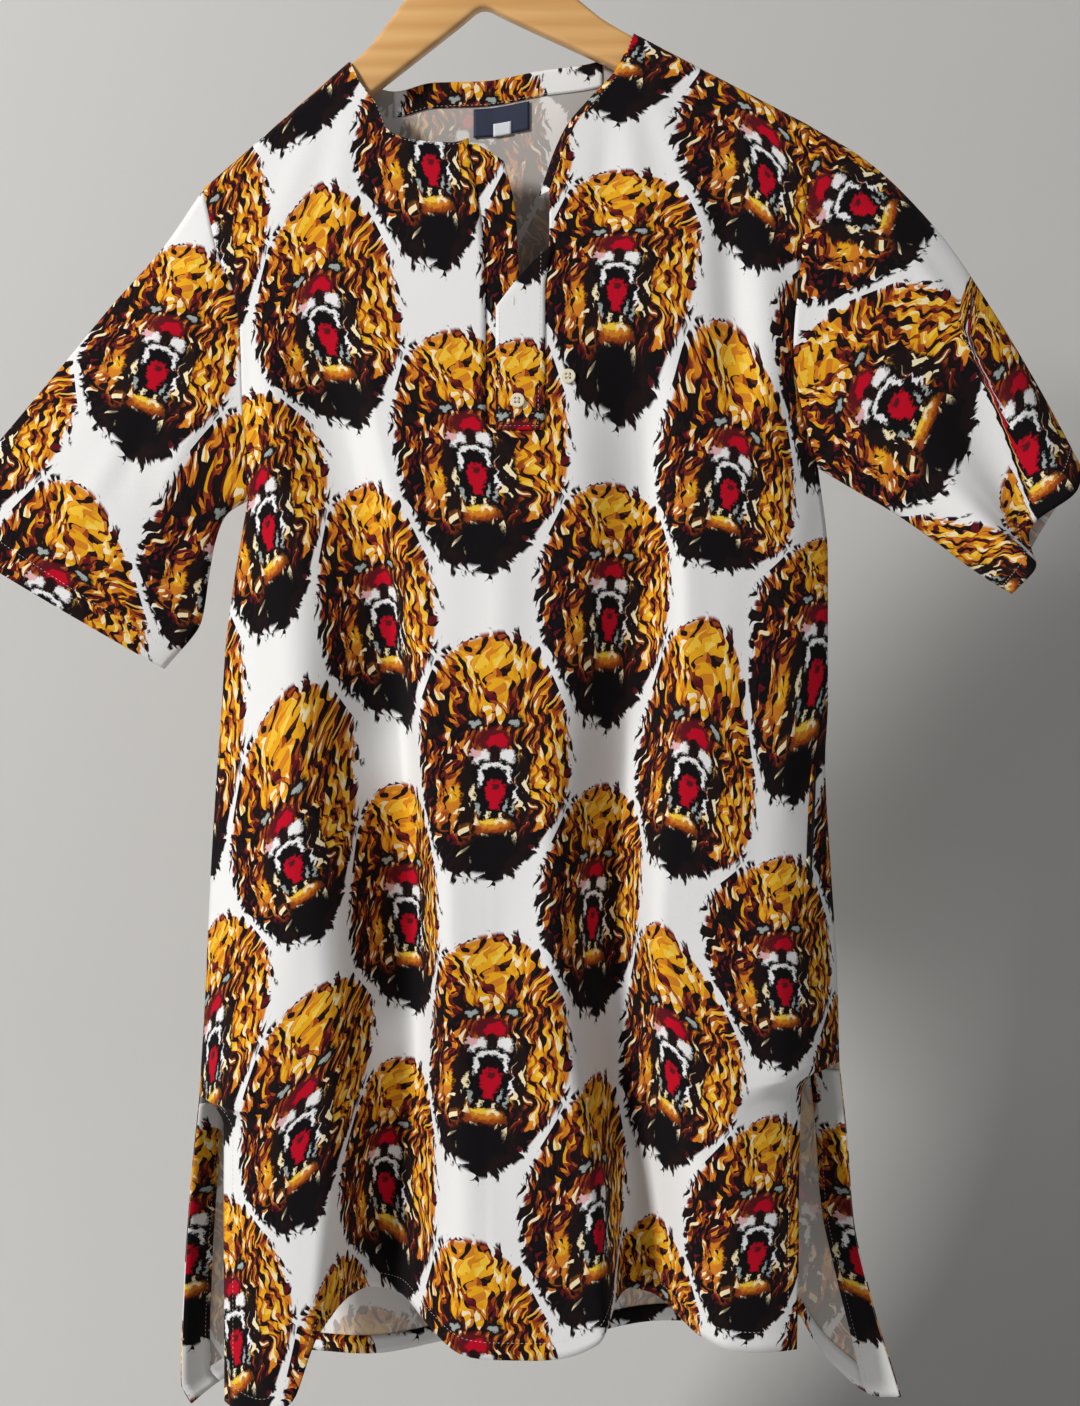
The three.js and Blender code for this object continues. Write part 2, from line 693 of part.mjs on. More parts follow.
// Placket strips: where each edge runs, going down. They lie a strip's gap before and behind the panel.
const STRIP_OUT = CLOTH / 2 + STRIP / 2 + GAP;
const OVERLAP_FREE_TOP = table("root down", [
  [0, 331],
  [1, 286],
]);
const UNDERLAP = table("down left right", [
  [217, 0, 25],
  [242, 2, 32],
  [268, 6, 37],
  [320, 12, 39],
  [417, 12, 39],
]);
const OVERLAP_END = 416;
const OVERLAP_EDGE = { free: 23, root: 57 };
const STRIP_COLUMNS = 4;
const OVERLAP_ROWS = 9;
const UNDERLAP_ROWS = 10;
const overlap = sheet(STRIP_COLUMNS, OVERLAP_ROWS, (i, j) => {
  const across = i / STRIP_COLUMNS;
  const top = read(OVERLAP_FREE_TOP, "root", "down", across);
  const down = lerp(top, OVERLAP_END, j / OVERLAP_ROWS);
  const shift = read(PLACKET_RIGHT, "z", "x", down) - PLACKET_RIGHT[4].x;
  const x = lerp(OVERLAP_EDGE.free, OVERLAP_EDGE.root + shift, across);
  const column = placketColumn(x - shift * across);
  return onFront(column, frontRowAt(column, -down), STRIP_OUT);
});
addPiece("placket_overlap", GROUND, wallOf(overlap.points, overlap.faces, overlap.normals, STRIP), shirt);
const underlap = sheet(STRIP_COLUMNS, UNDERLAP_ROWS, (i, j) => {
  const across = i / STRIP_COLUMNS;
  const down = lerp(UNDERLAP[0].down, UNDERLAP[4].down, j / UNDERLAP_ROWS);
  const x = lerp(read(UNDERLAP, "down", "left", down), read(UNDERLAP, "down", "right", down), across);
  const shift = read(PLACKET_LEFT, "z", "x", down) - PLACKET_LEFT[2].x;
  const column = placketColumn(x - shift * (1 - across));
  return onFront(column, frontRowAt(column, -down), -STRIP_OUT);
});
addPiece("placket_underlap", PRINT, wallOf(underlap.points, underlap.faces, underlap.normals, STRIP), shirt);

// Hanger: a flat wooden arch with rounded edges, in its own frame, turned about the hook's crown
const hanger = new THREE.Group();
hanger.rotation.y = -TILT;
const ARM_END = 203;
const topOfArm = (x) =>
  SHOULDER_START.z -
  (x - SHOULDER_START.x) * Math.tan(SHOULDER_SLOPE) -
  WOOD_BELOW_CLOTH / Math.cos(SHOULDER_SLOPE);
const ARM = [
  [0, -62],
  [14, -66],
  [38, -88],
  [60, -111],
  [74, -126],
  [86, topOfArm(86)],
  [ARM_END, topOfArm(ARM_END)],
  [ARM_END + 4, topOfArm(ARM_END) - 8],
  [ARM_END, topOfArm(ARM_END) - 19],
  [0, -115.5],
];
const outline = [...ARM, ...ARM.slice(1, -1).reverse().map(([x, z]) => [-x, z])];
const arch = new THREE.Shape(outline.map(([x, z]) => new THREE.Vector2(x, z)).reverse());
const wood = new THREE.ExtrudeGeometry(arch, {
  depth: WOOD_THICK - 2 * WOOD_EDGE,
  bevelThickness: WOOD_EDGE,
  bevelSize: WOOD_EDGE,
  bevelOffset: -WOOD_EDGE,
  bevelSegments: 2,
});
wood.translate(0, 0, WOOD_EDGE - WOOD_THICK / 2);
wood.rotateX(Math.PI / 2);
addPiece("hanger_wood", "#c9883f", wood, hanger);

// The row at which a column of the back is at a depth below the neckline.
function backRowAt(column, down) {
  let row = 0;
  const top = onBack(column, 0, 0).z;
  while (row < LAST_ROW - 1 && top - onBack(column, row + 1, 0).z < down) row++;
  const upper = top - onBack(column, row, 0).z;
  const lower = top - onBack(column, row + 1, 0).z;
  return row + (down - upper) / (lower - upper);
}

// The column of the back whose top is at a distance across.
function backColumnAt(x) {
  let column = BACK_SHOULDER_CELLS;
  while (column < BACK_COLUMNS - BACK_SHOULDER_CELLS - 1 && backTop(column + 1).x < x) column++;
  return column + (x - backTop(column).x) / (backTop(column + 1).x - backTop(column).x);
}

// Patches on the inside of the back: places across, depths below the neckline, layers inwards.
const INSIDE_BACK = table("name colour from to across top deep down layers", [
  ["neck_facing_back", PRINT, -51, 98, 12, 0.4, 18, 3, 1],
  ["neck_label", NAVY, 6, 46, 3, 20, 40, 2, 1],
  ["size_tab", GROUND, 20, 33, 1, 32, 40.5, 1, 2],
]);
for (const { name, colour, from, to, across, top, deep, down, layers } of INSIDE_BACK) {
  const lift = CLOTH / 2 + layers * (STRIP + GAP) - STRIP / 2;
  const patch = sheet(across, down, (i, j) => {
    const column = backColumnAt(lerp(from, to, i / across));
    return onBack(column, backRowAt(column, lerp(top, deep, j / down)), -lift);
  });
  addPiece(name, colour, wallOf(patch.points, patch.faces, patch.normals, STRIP), shirt);
}

// Front facing: turned in along the right edge of the neckline, deeper towards the placket
const FACING_FRONT = { from: 2.2, shallow: 1.8, deep: 11, lean: 2.4, across: 2, down: 9 };
const facingFront = sheet(FACING_FRONT.across, FACING_FRONT.down, (i, j) => {
  const cell = lerp(FACING_FRONT.from, NECK_CELLS, j / FACING_FRONT.down);
  const root = onFront(FRONT_COLUMNS - SHOULDER_CELLS - cell, 0, -STRIP_OUT);
  const turn = i / FACING_FRONT.across;
  const deep = lerp(FACING_FRONT.shallow, FACING_FRONT.deep, j / FACING_FRONT.down);
  return root.add(new THREE.Vector3(-FACING_FRONT.lean * turn, deep * turn, 0));
}, { turnedOver: true });
addPiece(
  "neck_facing_front",
  PRINT,
  wallOf(facingFront.points, facingFront.faces, facingFront.normals, STRIP),
  shirt,
);

// Buttons: a round disc with four holes, face out from the cloth
const BUTTONS = table("name x down layers", [
  ["button_placket", 38, 396, 1],
  ["button_front", 73, 379, 0],
]);
for (const { name, x, down, layers } of BUTTONS) {
  const disc = new THREE.Shape();
  disc.absarc(0, 0, BUTTON.across / 2 - BUTTON.bevel, 0, 2 * Math.PI);
  for (let k = 0; k < BUTTON.holes; k++) {
    const turn = ((k + 0.5) * 2 * Math.PI) / BUTTON.holes;
    const hole = new THREE.Path();
    const radius = BUTTON.hole / 2 + BUTTON.bevel;
    hole.absarc(BUTTON.holeRing * Math.cos(turn), BUTTON.holeRing * Math.sin(turn), radius, 0, 2 * Math.PI);
    disc.holes.push(hole);
  }
  const shape = new THREE.ExtrudeGeometry(disc, {
    depth: BUTTON.thick - 2 * BUTTON.bevel,
    bevelThickness: BUTTON.bevel,
    bevelSize: BUTTON.bevel,
    bevelSegments: 1,
    curveSegments: 8,
  });
  shape.translate(0, 0, BUTTON.bevel);
  const column = frontColumnAt(x, -down);
  const row = frontRowAt(column, -down);
  const seat = onFront(column, row, CLOTH / 2 + layers * (STRIP + GAP) + BUTTON.seat);
  const out = onFront(column, row, 1).sub(onFront(column, row, 0));
  const place = new THREE.Group();
  place.position.copy(seat);
  place.quaternion.setFromUnitVectors(new THREE.Vector3(0, 0, 1), out.normalize());
  shirt.add(place);
  addPiece(name, "#e9dfc4", shape, place);
}

// Hook: round wire from the wood's top, round over the rod
const HOOK_STEM = [[0, -61.6], [0.4, -56], [3, -49]];
const HOOK_TURN = { from: -48, to: 206, step: 12.7 }; // degrees round the hook's middle
const hookLine = HOOK_STEM.map(([x, z]) => new THREE.Vector3(x, 0, z));
for (let turn = HOOK_TURN.from; turn <= HOOK_TURN.to; turn += HOOK_TURN.step) {
  const angle = degToRad(turn);
  const middle = HOOK_WIRE / 2 - HOOK_RADIUS;
  hookLine.push(
    new THREE.Vector3(HOOK_RADIUS * Math.cos(angle), 0, middle + HOOK_RADIUS * Math.sin(angle)),
  );
}
const wire = new THREE.Shape();
wire.absarc(0, 0, HOOK_WIRE / 2, 0, 2 * Math.PI);
const hook = new THREE.ExtrudeGeometry(wire, {
  extrudePath: new THREE.CatmullRomCurve3(hookLine, false, "centripetal"),
  steps: 44,
  curveSegments: 5,
  bevelEnabled: false,
});
addPiece("hanger_hook", "#b9bcc0", hook, hanger).material.metalness = 1;

export default new THREE.Group().add(shirt, hanger);
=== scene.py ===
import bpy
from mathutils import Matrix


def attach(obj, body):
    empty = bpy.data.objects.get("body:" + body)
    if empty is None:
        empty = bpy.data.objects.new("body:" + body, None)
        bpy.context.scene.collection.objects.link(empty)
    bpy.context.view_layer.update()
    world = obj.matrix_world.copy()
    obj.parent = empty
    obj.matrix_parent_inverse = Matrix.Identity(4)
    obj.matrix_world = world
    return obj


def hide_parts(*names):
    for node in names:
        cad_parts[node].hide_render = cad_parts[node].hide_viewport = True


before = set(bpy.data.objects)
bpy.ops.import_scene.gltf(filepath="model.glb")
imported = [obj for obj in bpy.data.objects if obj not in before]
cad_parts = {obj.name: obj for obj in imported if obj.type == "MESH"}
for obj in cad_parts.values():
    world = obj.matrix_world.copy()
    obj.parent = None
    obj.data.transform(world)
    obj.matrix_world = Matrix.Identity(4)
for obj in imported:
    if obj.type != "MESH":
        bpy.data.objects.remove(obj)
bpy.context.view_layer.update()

import math
import bpy
import numpy as np
from mathutils import Vector

# Camera and studio: a level view from the front at the height of the shirt's middle, soft light from
# high on the left with a weaker one on the right, and a plain pale floor that curves up to a wall.
MM = 0.001
CAMERA_AT = (53.5 * MM, -1250 * MM, -604 * MM)
CAMERA_LENS = 45.45
LIGHTS = {
    # name: place, size across in metres, watts, colour
    "key": ((-2.8, -2.7, 1.0), 0.7, 166, (1.0, 0.985, 0.96)),
    "fill": ((1.3, -1.8, -0.2), 1.6, 3.5, (0.97, 0.985, 1.0)),
    "low": ((0.1, -1.6, -1.6), 1.4, 1.5, (1.0, 0.99, 0.97)),
    "back": ((0.3, 1.5, 0.5), 1.2, 8, (1.0, 1.0, 1.0)),
}
LIGHTS_AIM = Vector((0.03, 0, -0.55))
WORLD_LIGHT, WORLD_STRENGTH = (0.80, 0.81, 0.83, 1.0), 0.15
FLOOR_LEVEL, FLOOR_NEAR = -1.45, -4.0
WALL_BEHIND, WALL_TALL = 0.62, 4.0
SWEEP_ROUND, SWEEP_HALF_WIDE = 0.5, 5.0
PALE_GREY = (0.60, 0.595, 0.585, 1.0)

scene = bpy.context.scene
camera_data = bpy.data.cameras.new("camera")
camera_data.lens = CAMERA_LENS
camera = bpy.data.objects.new("camera", camera_data)
camera.location = CAMERA_AT
camera.rotation_euler = (math.radians(90), 0, 0)
scene.collection.objects.link(camera)
scene.camera = camera

for name, (place, across, watts, colour) in LIGHTS.items():
    light = bpy.data.lights.new(name, "AREA")
    light.size = across
    light.energy = watts
    light.color = colour
    lamp = bpy.data.objects.new(name, light)
    lamp.location = place
    lamp.rotation_euler = (LIGHTS_AIM - Vector(place)).to_track_quat("-Z", "Y").to_euler()
    scene.collection.objects.link(lamp)

scene.view_settings.view_transform = "Standard"
world = scene.world or bpy.data.worlds.new("world")
scene.world = world
world.use_nodes = True
background = world.node_tree.nodes["Background"]
background.inputs["Color"].default_value = WORLD_LIGHT
background.inputs["Strength"].default_value = WORLD_STRENGTH


def mesh_piece(name, vertices, faces, material, uv=None, smooth=True):
    """A mesh object of the given points and faces, in metres, with one UV pair for each point."""
    mesh = bpy.data.meshes.new(name)
    mesh.from_pydata([tuple(v) for v in np.asarray(vertices, float)], [], [tuple(f) for f in faces])
    if uv is not None:
        corner = np.empty(len(mesh.loops), dtype=np.int32)
        mesh.loops.foreach_get("vertex_index", corner)
        layer = mesh.uv_layers.new(name="cloth")
        layer.data.foreach_set("uv", np.asarray(uv, np.float32)[corner].ravel())
    mesh.polygons.foreach_set("use_smooth", [smooth] * len(mesh.polygons))
    mesh.update()
    piece = bpy.data.objects.new(name, mesh)
    for one in material if isinstance(material, (list, tuple)) else [material]:
        mesh.materials.append(one)
    scene.collection.objects.link(piece)
    return piece


def grid_faces(rows, columns, around=False, turned_over=False, hole=None):
    """The four-sided faces of a grid of rows x columns points, rows down and columns across."""
    across = columns if around else columns - 1
    j, i = np.meshgrid(np.arange(rows - 1), np.arange(across), indexing="ij")
    following = (i + 1) % columns
    faces = np.stack(
        [j * columns + i, (j + 1) * columns + i, (j + 1) * columns + following, j * columns + following], -1
    )
    if hole is not None:
        faces = faces[~hole(j, i)]
    faces = faces.reshape(-1, 4)
    return faces[:, ::-1] if turned_over else faces


def wire(tree, made, inputs):
    """Fills a node's sockets: each takes a number, or a link from another node's output."""
    for slot, value in inputs.items():
        if isinstance(value, bpy.types.NodeSocket):
            tree.links.new(value, made.inputs[slot])
        else:
            made.inputs[slot].default_value = value
    return made


def add_node(tree, kind, inputs=None, **settings):
    """A new shader node with its settings and sockets filled."""
    made = tree.nodes.new("ShaderNode" + kind)
    for name, value in settings.items():
        setattr(made, name, value)
    return wire(tree, made, inputs or {})


def new_material(name):
    """An empty material, its node tree and its shader."""
    material = bpy.data.materials.new(name)
    material.use_nodes = True
    return material, material.node_tree, material.node_tree.nodes["Principled BSDF"]


def plain_material(name, colour, roughness, other=None, grain=3.0):
    """A material whose colour varies a little with soft noise over the piece."""
    material, tree, shader = new_material(name)
    place = add_node(tree, "TexCoord").outputs["Object"]
    noise = add_node(tree, "TexNoise", {"Vector": place, "Scale": grain}).outputs["Fac"]
    other = other or [c * 0.97 for c in colour[:3]] + [1]
    varied = add_node(tree, "Mix", {"Factor": noise, "A": colour, "B": other}, data_type="RGBA").outputs["Result"]
    wire(tree, shader, {"Base Color": varied, "Roughness": roughness})
    return material


# A sweep from the floor up to the wall on a quarter round.
turn = np.linspace(0, math.pi / 2, 13)
sweep_y = np.concatenate([[FLOOR_NEAR], WALL_BEHIND - SWEEP_ROUND * (1 - np.sin(turn)), [WALL_BEHIND]])
sweep_z = np.concatenate([[0.0], SWEEP_ROUND * (1 - np.cos(turn)), [WALL_TALL]]) + FLOOR_LEVEL
sweep = np.array([[(x, y, z) for x in (-SWEEP_HALF_WIDE, SWEEP_HALF_WIDE)] for y, z in zip(sweep_y, sweep_z)])
pale = plain_material("pale_sweep", PALE_GREY, 0.9)
# Only the side towards the shirt is solid, so that a view from behind the wall shows the shirt's back.
tree = pale.node_tree
one_sided = add_node(tree, "MixShader", {
    "Fac": add_node(tree, "NewGeometry").outputs["Backfacing"], 1: tree.nodes["Principled BSDF"].outputs["BSDF"],
    2: add_node(tree, "BsdfTransparent").outputs["BSDF"],
})
wire(tree, tree.nodes["Material Output"], {"Surface": one_sided.outputs["Shader"]})
studio = mesh_piece("studio_sweep", sweep.reshape(-1, 3), grid_faces(len(sweep_y), 2, turned_over=True), pale)

# Wooden hanger: one flat arch of honey-varnished wood, 12 mm thick with rounded edges. It hangs a
# little down on the wearer's right, so its shape is worked out level and turned about the hook's crown.
TILT = math.radians(6.7)
WOOD_THICK = 12
WOOD_ROUND = 3.4
SHOULDER_SLOPE = math.radians(34.4)
SHOULDER_START = (100, -144.5)
WOOD_BELOW_CLOTH = 2.5
ARM_END = 203


def table(columns, rows):
    """A short table as arrays, one for each named column."""
    return dict(zip(columns.split(), np.array(rows, float).T))


def turned(x, z):
    """A point of the hanger's own level frame, turned about the hook's crown by the tilt."""
    x, z = np.asarray(x, float), np.asarray(z, float)
    return x * math.cos(TILT) - z * math.sin(TILT), x * math.sin(TILT) + z * math.cos(TILT)


def top_of_arm(x):
    """Height of the arm's top edge: the shoulder seam's straight line less the clearance under it."""
    drop = (x - SHOULDER_START[0]) * math.tan(SHOULDER_SLOPE)
    return SHOULDER_START[1] - drop - WOOD_BELOW_CLOTH / math.cos(SHOULDER_SLOPE)


def rounded(outline, times):
    """Corner cutting: each pass puts two points at a quarter of each side, so that corners become curves."""
    for _ in range(times):
        ahead = np.roll(outline, -1, axis=0)
        outline = np.stack([0.75 * outline + 0.25 * ahead, 0.25 * outline + 0.75 * ahead], 1).reshape(-1, 2)
    return outline


ARM = np.array([
    [0, -60], [14, -65.5], [38, -88], [60, -111], [74, -126], [86, top_of_arm(86)], [140, top_of_arm(140)],
    [198, top_of_arm(198)], [207, top_of_arm(ARM_END) - 3], [208, top_of_arm(ARM_END) - 14],
    [203, top_of_arm(ARM_END) - 19.5], [190, -231.7], [60, -152.4], [14, -124.3], [0, -114.5],
])
mirrored = ARM[1:-1][::-1] * [-1, 1]
outline = rounded(np.concatenate([ARM, mirrored]), 2)
count = len(outline)
wood_x, wood_z = turned(outline[:, 0], outline[:, 1])
half = WOOD_THICK / 2
ring = np.stack([wood_x, np.full(count, -half), wood_z], 1)
wood_points = np.concatenate([ring, ring * [1, -1, 1]]) * MM
step = np.arange(count)
after = (step + 1) % count
wood_faces = [list(step[::-1]), list(step + count)]
wood_faces += [list(f) for f in np.stack([step, after, after + count, step + count], 1)]

HONEY_LIGHT, HONEY_DARK = (0.78, 0.47, 0.19, 1), (0.56, 0.28, 0.085, 1)
wood, tree, shader = new_material("honey_wood")
place = add_node(tree, "TexCoord").outputs["Object"]


def along_board(scale):
    """Object coordinates stretched along the board."""
    return add_node(tree, "Mapping", {"Vector": place, "Rotation": (0, TILT, 0), "Scale": scale}).outputs["Vector"]


# The grain runs along the board: thin stretched noise, with broad bands warped by their own noise.
grain = add_node(tree, "TexNoise", {"Vector": along_board((7, 60, 110)), "Scale": 2.2, "Detail": 6}).outputs["Fac"]
broad = add_node(tree, "TexWave", {"Vector": along_board((2.5, 10, 26)), "Scale": 0.9, "Distortion": 5, "Detail": 2},
                 wave_type="BANDS", bands_direction="Z").outputs["Fac"]
half_grain = add_node(tree, "Math", {0: grain, 1: 0.55}, operation="MULTIPLY").outputs["Value"]
mixed = add_node(tree, "Math", {0: broad, 1: 0.45, 2: half_grain}, operation="MULTIPLY_ADD").outputs["Value"]
wire(tree, shader, {
    "Base Color": add_node(tree, "Mix", {"Factor": mixed, "A": HONEY_LIGHT, "B": HONEY_DARK},
                           data_type="RGBA").outputs["Result"],
    "Roughness": add_node(tree, "MapRange", {"Value": grain, "To Min": 0.27, "To Max": 0.42}).outputs["Result"],
    "Normal": add_node(tree, "Bump", {"Height": grain, "Strength": 0.12, "Distance": 0.0004}).outputs["Normal"],
    "Coat Weight": 0.35, "Coat Roughness": 0.18,
})

hanger = mesh_piece("hanger_arch", wood_points, wood_faces, wood)
edge_round = hanger.modifiers.new("edge_round", "BEVEL")
edge_round.width = WOOD_ROUND * MM
edge_round.segments = 4
edge_round.limit_method = "ANGLE"
edge_round.angle_limit = math.radians(60)
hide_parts("hanger_wood")
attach(hanger, "root")

# Hook: one length of 4 mm plated steel wire, screwed into the top of the arch and bent round over the
# rod. The rod touches it at the crown, which is the origin of the whole object.
WIRE = 4
HOOK_RADIUS = 22
HOOK_START = -61.6
AROUND_WIRE = 20


def through(points, count):
    """A smooth curve through the points: Catmull-Rom, an equal number of steps for each stretch."""
    points = np.asarray(points, float)
    ends = np.concatenate([[2 * points[0] - points[1]], points, [2 * points[-1] - points[-2]]])
    t = np.linspace(0, len(points) - 1 - 1e-9, count)
    k = t.astype(int)
    s = (t - k)[:, None]
    a, b, c, d = (ends[k + n] for n in range(4))
    return 0.5 * (2 * b + (c - a) * s + (2 * a - 5 * b + 4 * c - d) * s**2 + (3 * b - a - 3 * c + d) * s**3)


turns = np.radians(np.arange(-48, 207, 12.7))
hook_middle = WIRE / 2 - HOOK_RADIUS
hook_line = [[0, HOOK_START], [0.4, -56], [3, -49]]
hook_line += [[HOOK_RADIUS * math.cos(a), hook_middle + HOOK_RADIUS * math.sin(a)] for a in turns]
path = through(hook_line, 150)
run = np.gradient(path, axis=0)
run /= np.linalg.norm(run, axis=1)[:, None]
spin = np.linspace(0, 2 * np.pi, AROUND_WIRE, endpoint=False)
# The free end closes in a half ball: its rings shrink on a quarter round.
shrink = np.ones(len(path))
ball = np.linspace(0, np.pi / 2, 7)[1:]
tip_path = path[-1] + run[-1] * (WIRE / 2) * np.sin(ball)[:, None]
path = np.concatenate([path, tip_path])
run = np.concatenate([run, np.repeat(run[-1:], len(ball), 0)])
shrink = np.concatenate([shrink, np.maximum(np.cos(ball), 0.02)])
across = np.stack([-run[:, 1], run[:, 0]], 1)
tube_x = path[:, 0, None] + across[:, 0, None] * np.cos(spin) * shrink[:, None] * WIRE / 2
tube_z = path[:, 1, None] + across[:, 1, None] * np.cos(spin) * shrink[:, None] * WIRE / 2
tube_y = np.sin(spin)[None, :] * shrink[:, None] * WIRE / 2
tube_x, tube_z = turned(tube_x, tube_z)
hook_points = np.stack([tube_x, tube_y, tube_z], -1).reshape(-1, 3) * MM
hook_faces = [list(f) for f in grid_faces(len(path), AROUND_WIRE, around=True, turned_over=True)]
hook_faces.append(list(range(AROUND_WIRE))[::-1])
hook_faces.append([len(hook_points) - AROUND_WIRE + k for k in range(AROUND_WIRE)])

steel = plain_material("plated_steel", (0.62, 0.62, 0.64, 1), 0.22)
steel.node_tree.nodes["Principled BSDF"].inputs["Metallic"].default_value = 1.0
hook = mesh_piece("hanger_wire_hook", hook_points, hook_faces, steel)
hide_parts("hanger_hook")
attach(hook, "root")

# Printed cloth: a smooth white cotton with a half-drop print of roaring lion heads, a traditional
# pattern. Heads are set 80 mm apart across and half a repeat down, in the print's own flat millimetres,
# which each piece carries as its UV map in metres. The wrong side shows the same print washed pale.
REPEAT_ACROSS = 160
REPEAT_DOWN = 204
HEAD_WIDE = 53
HEAD_TALL = 84


class Ink:
    """A number at each point of the cloth: arithmetic on it makes the node that works it out."""

    def __init__(self, tree, source):
        self.tree, self.source = tree, source

    def node(self, operation, *others):
        values = {slot: getattr(value, "source", value) for slot, value in enumerate((self, *others))}
        return Ink(self.tree, add_node(self.tree, "Math", values, operation=operation).outputs[0])

    def __add__(self, other):
        return self.node("ADD", other)

    def __sub__(self, other):
        return self.node("SUBTRACT", other)

    def __mul__(self, other):
        return self.node("MULTIPLY", other)

    def __truediv__(self, other):
        return self.node("DIVIDE", other)

    def rise(self, start, end):
        """0 below start, 1 above end, smooth between; start above end turns it round."""
        flip = start > end
        made = add_node(self.tree, "MapRange", {
            "Value": self.source, "From Min": min(start, end), "From Max": max(start, end),
            "To Min": float(flip), "To Max": float(not flip),
        }, interpolation_type="SMOOTHSTEP")
        return Ink(self.tree, made.outputs["Result"])


def new_group(name, inputs, outputs):
    """An empty shader node group with named sockets, each (name, kind, first value)."""
    group = bpy.data.node_groups.new(name, "ShaderNodeTree")
    for direction, sockets in (("INPUT", inputs), ("OUTPUT", outputs)):
        for label, kind, value in sockets:
            made = group.interface.new_socket(label, in_out=direction, socket_type="NodeSocket" + kind)
            if value is not None:
                made.default_value = value
    return group, group.nodes.new("NodeGroupInput"), group.nodes.new("NodeGroupOutput")


def join(tree, *values):
    """Two or three numbers as one vector."""
    sources = {slot: getattr(value, "source", value) for slot, value in enumerate(values)}
    return add_node(tree, "CombineXYZ", sources).outputs[0]


def noise_at(tree, vector, scale, detail=1.0, roughness=0.5):
    """Soft noise in two dimensions, from 0 to 1."""
    inputs = {"Vector": vector, "Scale": scale, "Detail": detail, "Roughness": roughness}
    return Ink(tree, add_node(tree, "TexNoise", inputs, noise_dimensions="2D").outputs[0])


def stroke_at(tree, vector):
    """One number from 0 to 1 for each cell of a cell pattern in two dimensions."""
    cells = add_node(tree, "TexVoronoi", {"Vector": vector, "Scale": 1.0}, voronoi_dimensions="2D")
    return Ink(tree, cells.outputs["Color"])


# One printed mark: an oval with a soft edge, at a centre, with half sizes and a turn.
mark_group, mark_in, mark_out = new_group(
    "print_mark",
    [("Place", "Vector", None), ("Centre", "Vector", None), ("Size", "Vector", (1, 1, 1)),
     ("Turn", "Float", 0.0), ("Edge", "Float", 0.15)],
    [("Mask", "Float", None)],
)
tree, given = mark_group, mark_in.outputs
shift = add_node(tree, "VectorMath", {0: given["Place"], 1: given["Centre"]}, operation="SUBTRACT")
spun = add_node(tree, "VectorRotate", {"Vector": shift.outputs[0], "Angle": given["Turn"]}, rotation_type="Z_AXIS")
sized = add_node(tree, "VectorMath", {0: spun.outputs[0], 1: given["Size"]}, operation="DIVIDE")
length = add_node(tree, "VectorMath", {0: sized.outputs[0]}, operation="LENGTH")
mask = ((Ink(tree, length.outputs["Value"]) - 1.0) / Ink(tree, given["Edge"])).rise(0.5, -0.5)
wire(tree, mark_out, {"Mask": mask.source})

# The marks of one head, in millimetres from its middle: where, half sizes, turn in degrees, how soft
# the edge is, and the ink. They are laid in this order over the mane's strokes.
INKS = {
    "black": (0.006, 0.005, 0.006), "soot": (0.013, 0.007, 0.007), "maroon": (0.100, 0.008, 0.012),
    "red": (0.47, 0.004, 0.018), "rust": (0.30, 0.055, 0.010), "orange": (0.60, 0.20, 0.018),
    "gold": (0.76, 0.37, 0.014), "yellow": (0.83, 0.55, 0.055), "cream": (0.86, 0.73, 0.46),
    "white": (0.80, 0.79, 0.80), "blush": (0.70, 0.40, 0.42), "steel": (0.33, 0.37, 0.36),
}
CHEEK_MARKS = [
    # ink, across, up, half wide, half tall, turn, edge
    ("soot", -16, -16, 7, 28, -2, 0.5), ("soot", 19.5, -14, 5, 27, 3, 0.5),
    ("orange", -27, -26, 6.4, 16, -4, 0.35), ("gold", -25, -18, 3.4, 6, 0, 0.6), ("rust", -28, -37, 2.4, 8, 6, 0.6),
    ("soot", 2, -60, 20, 22, 0, 0.5),
]
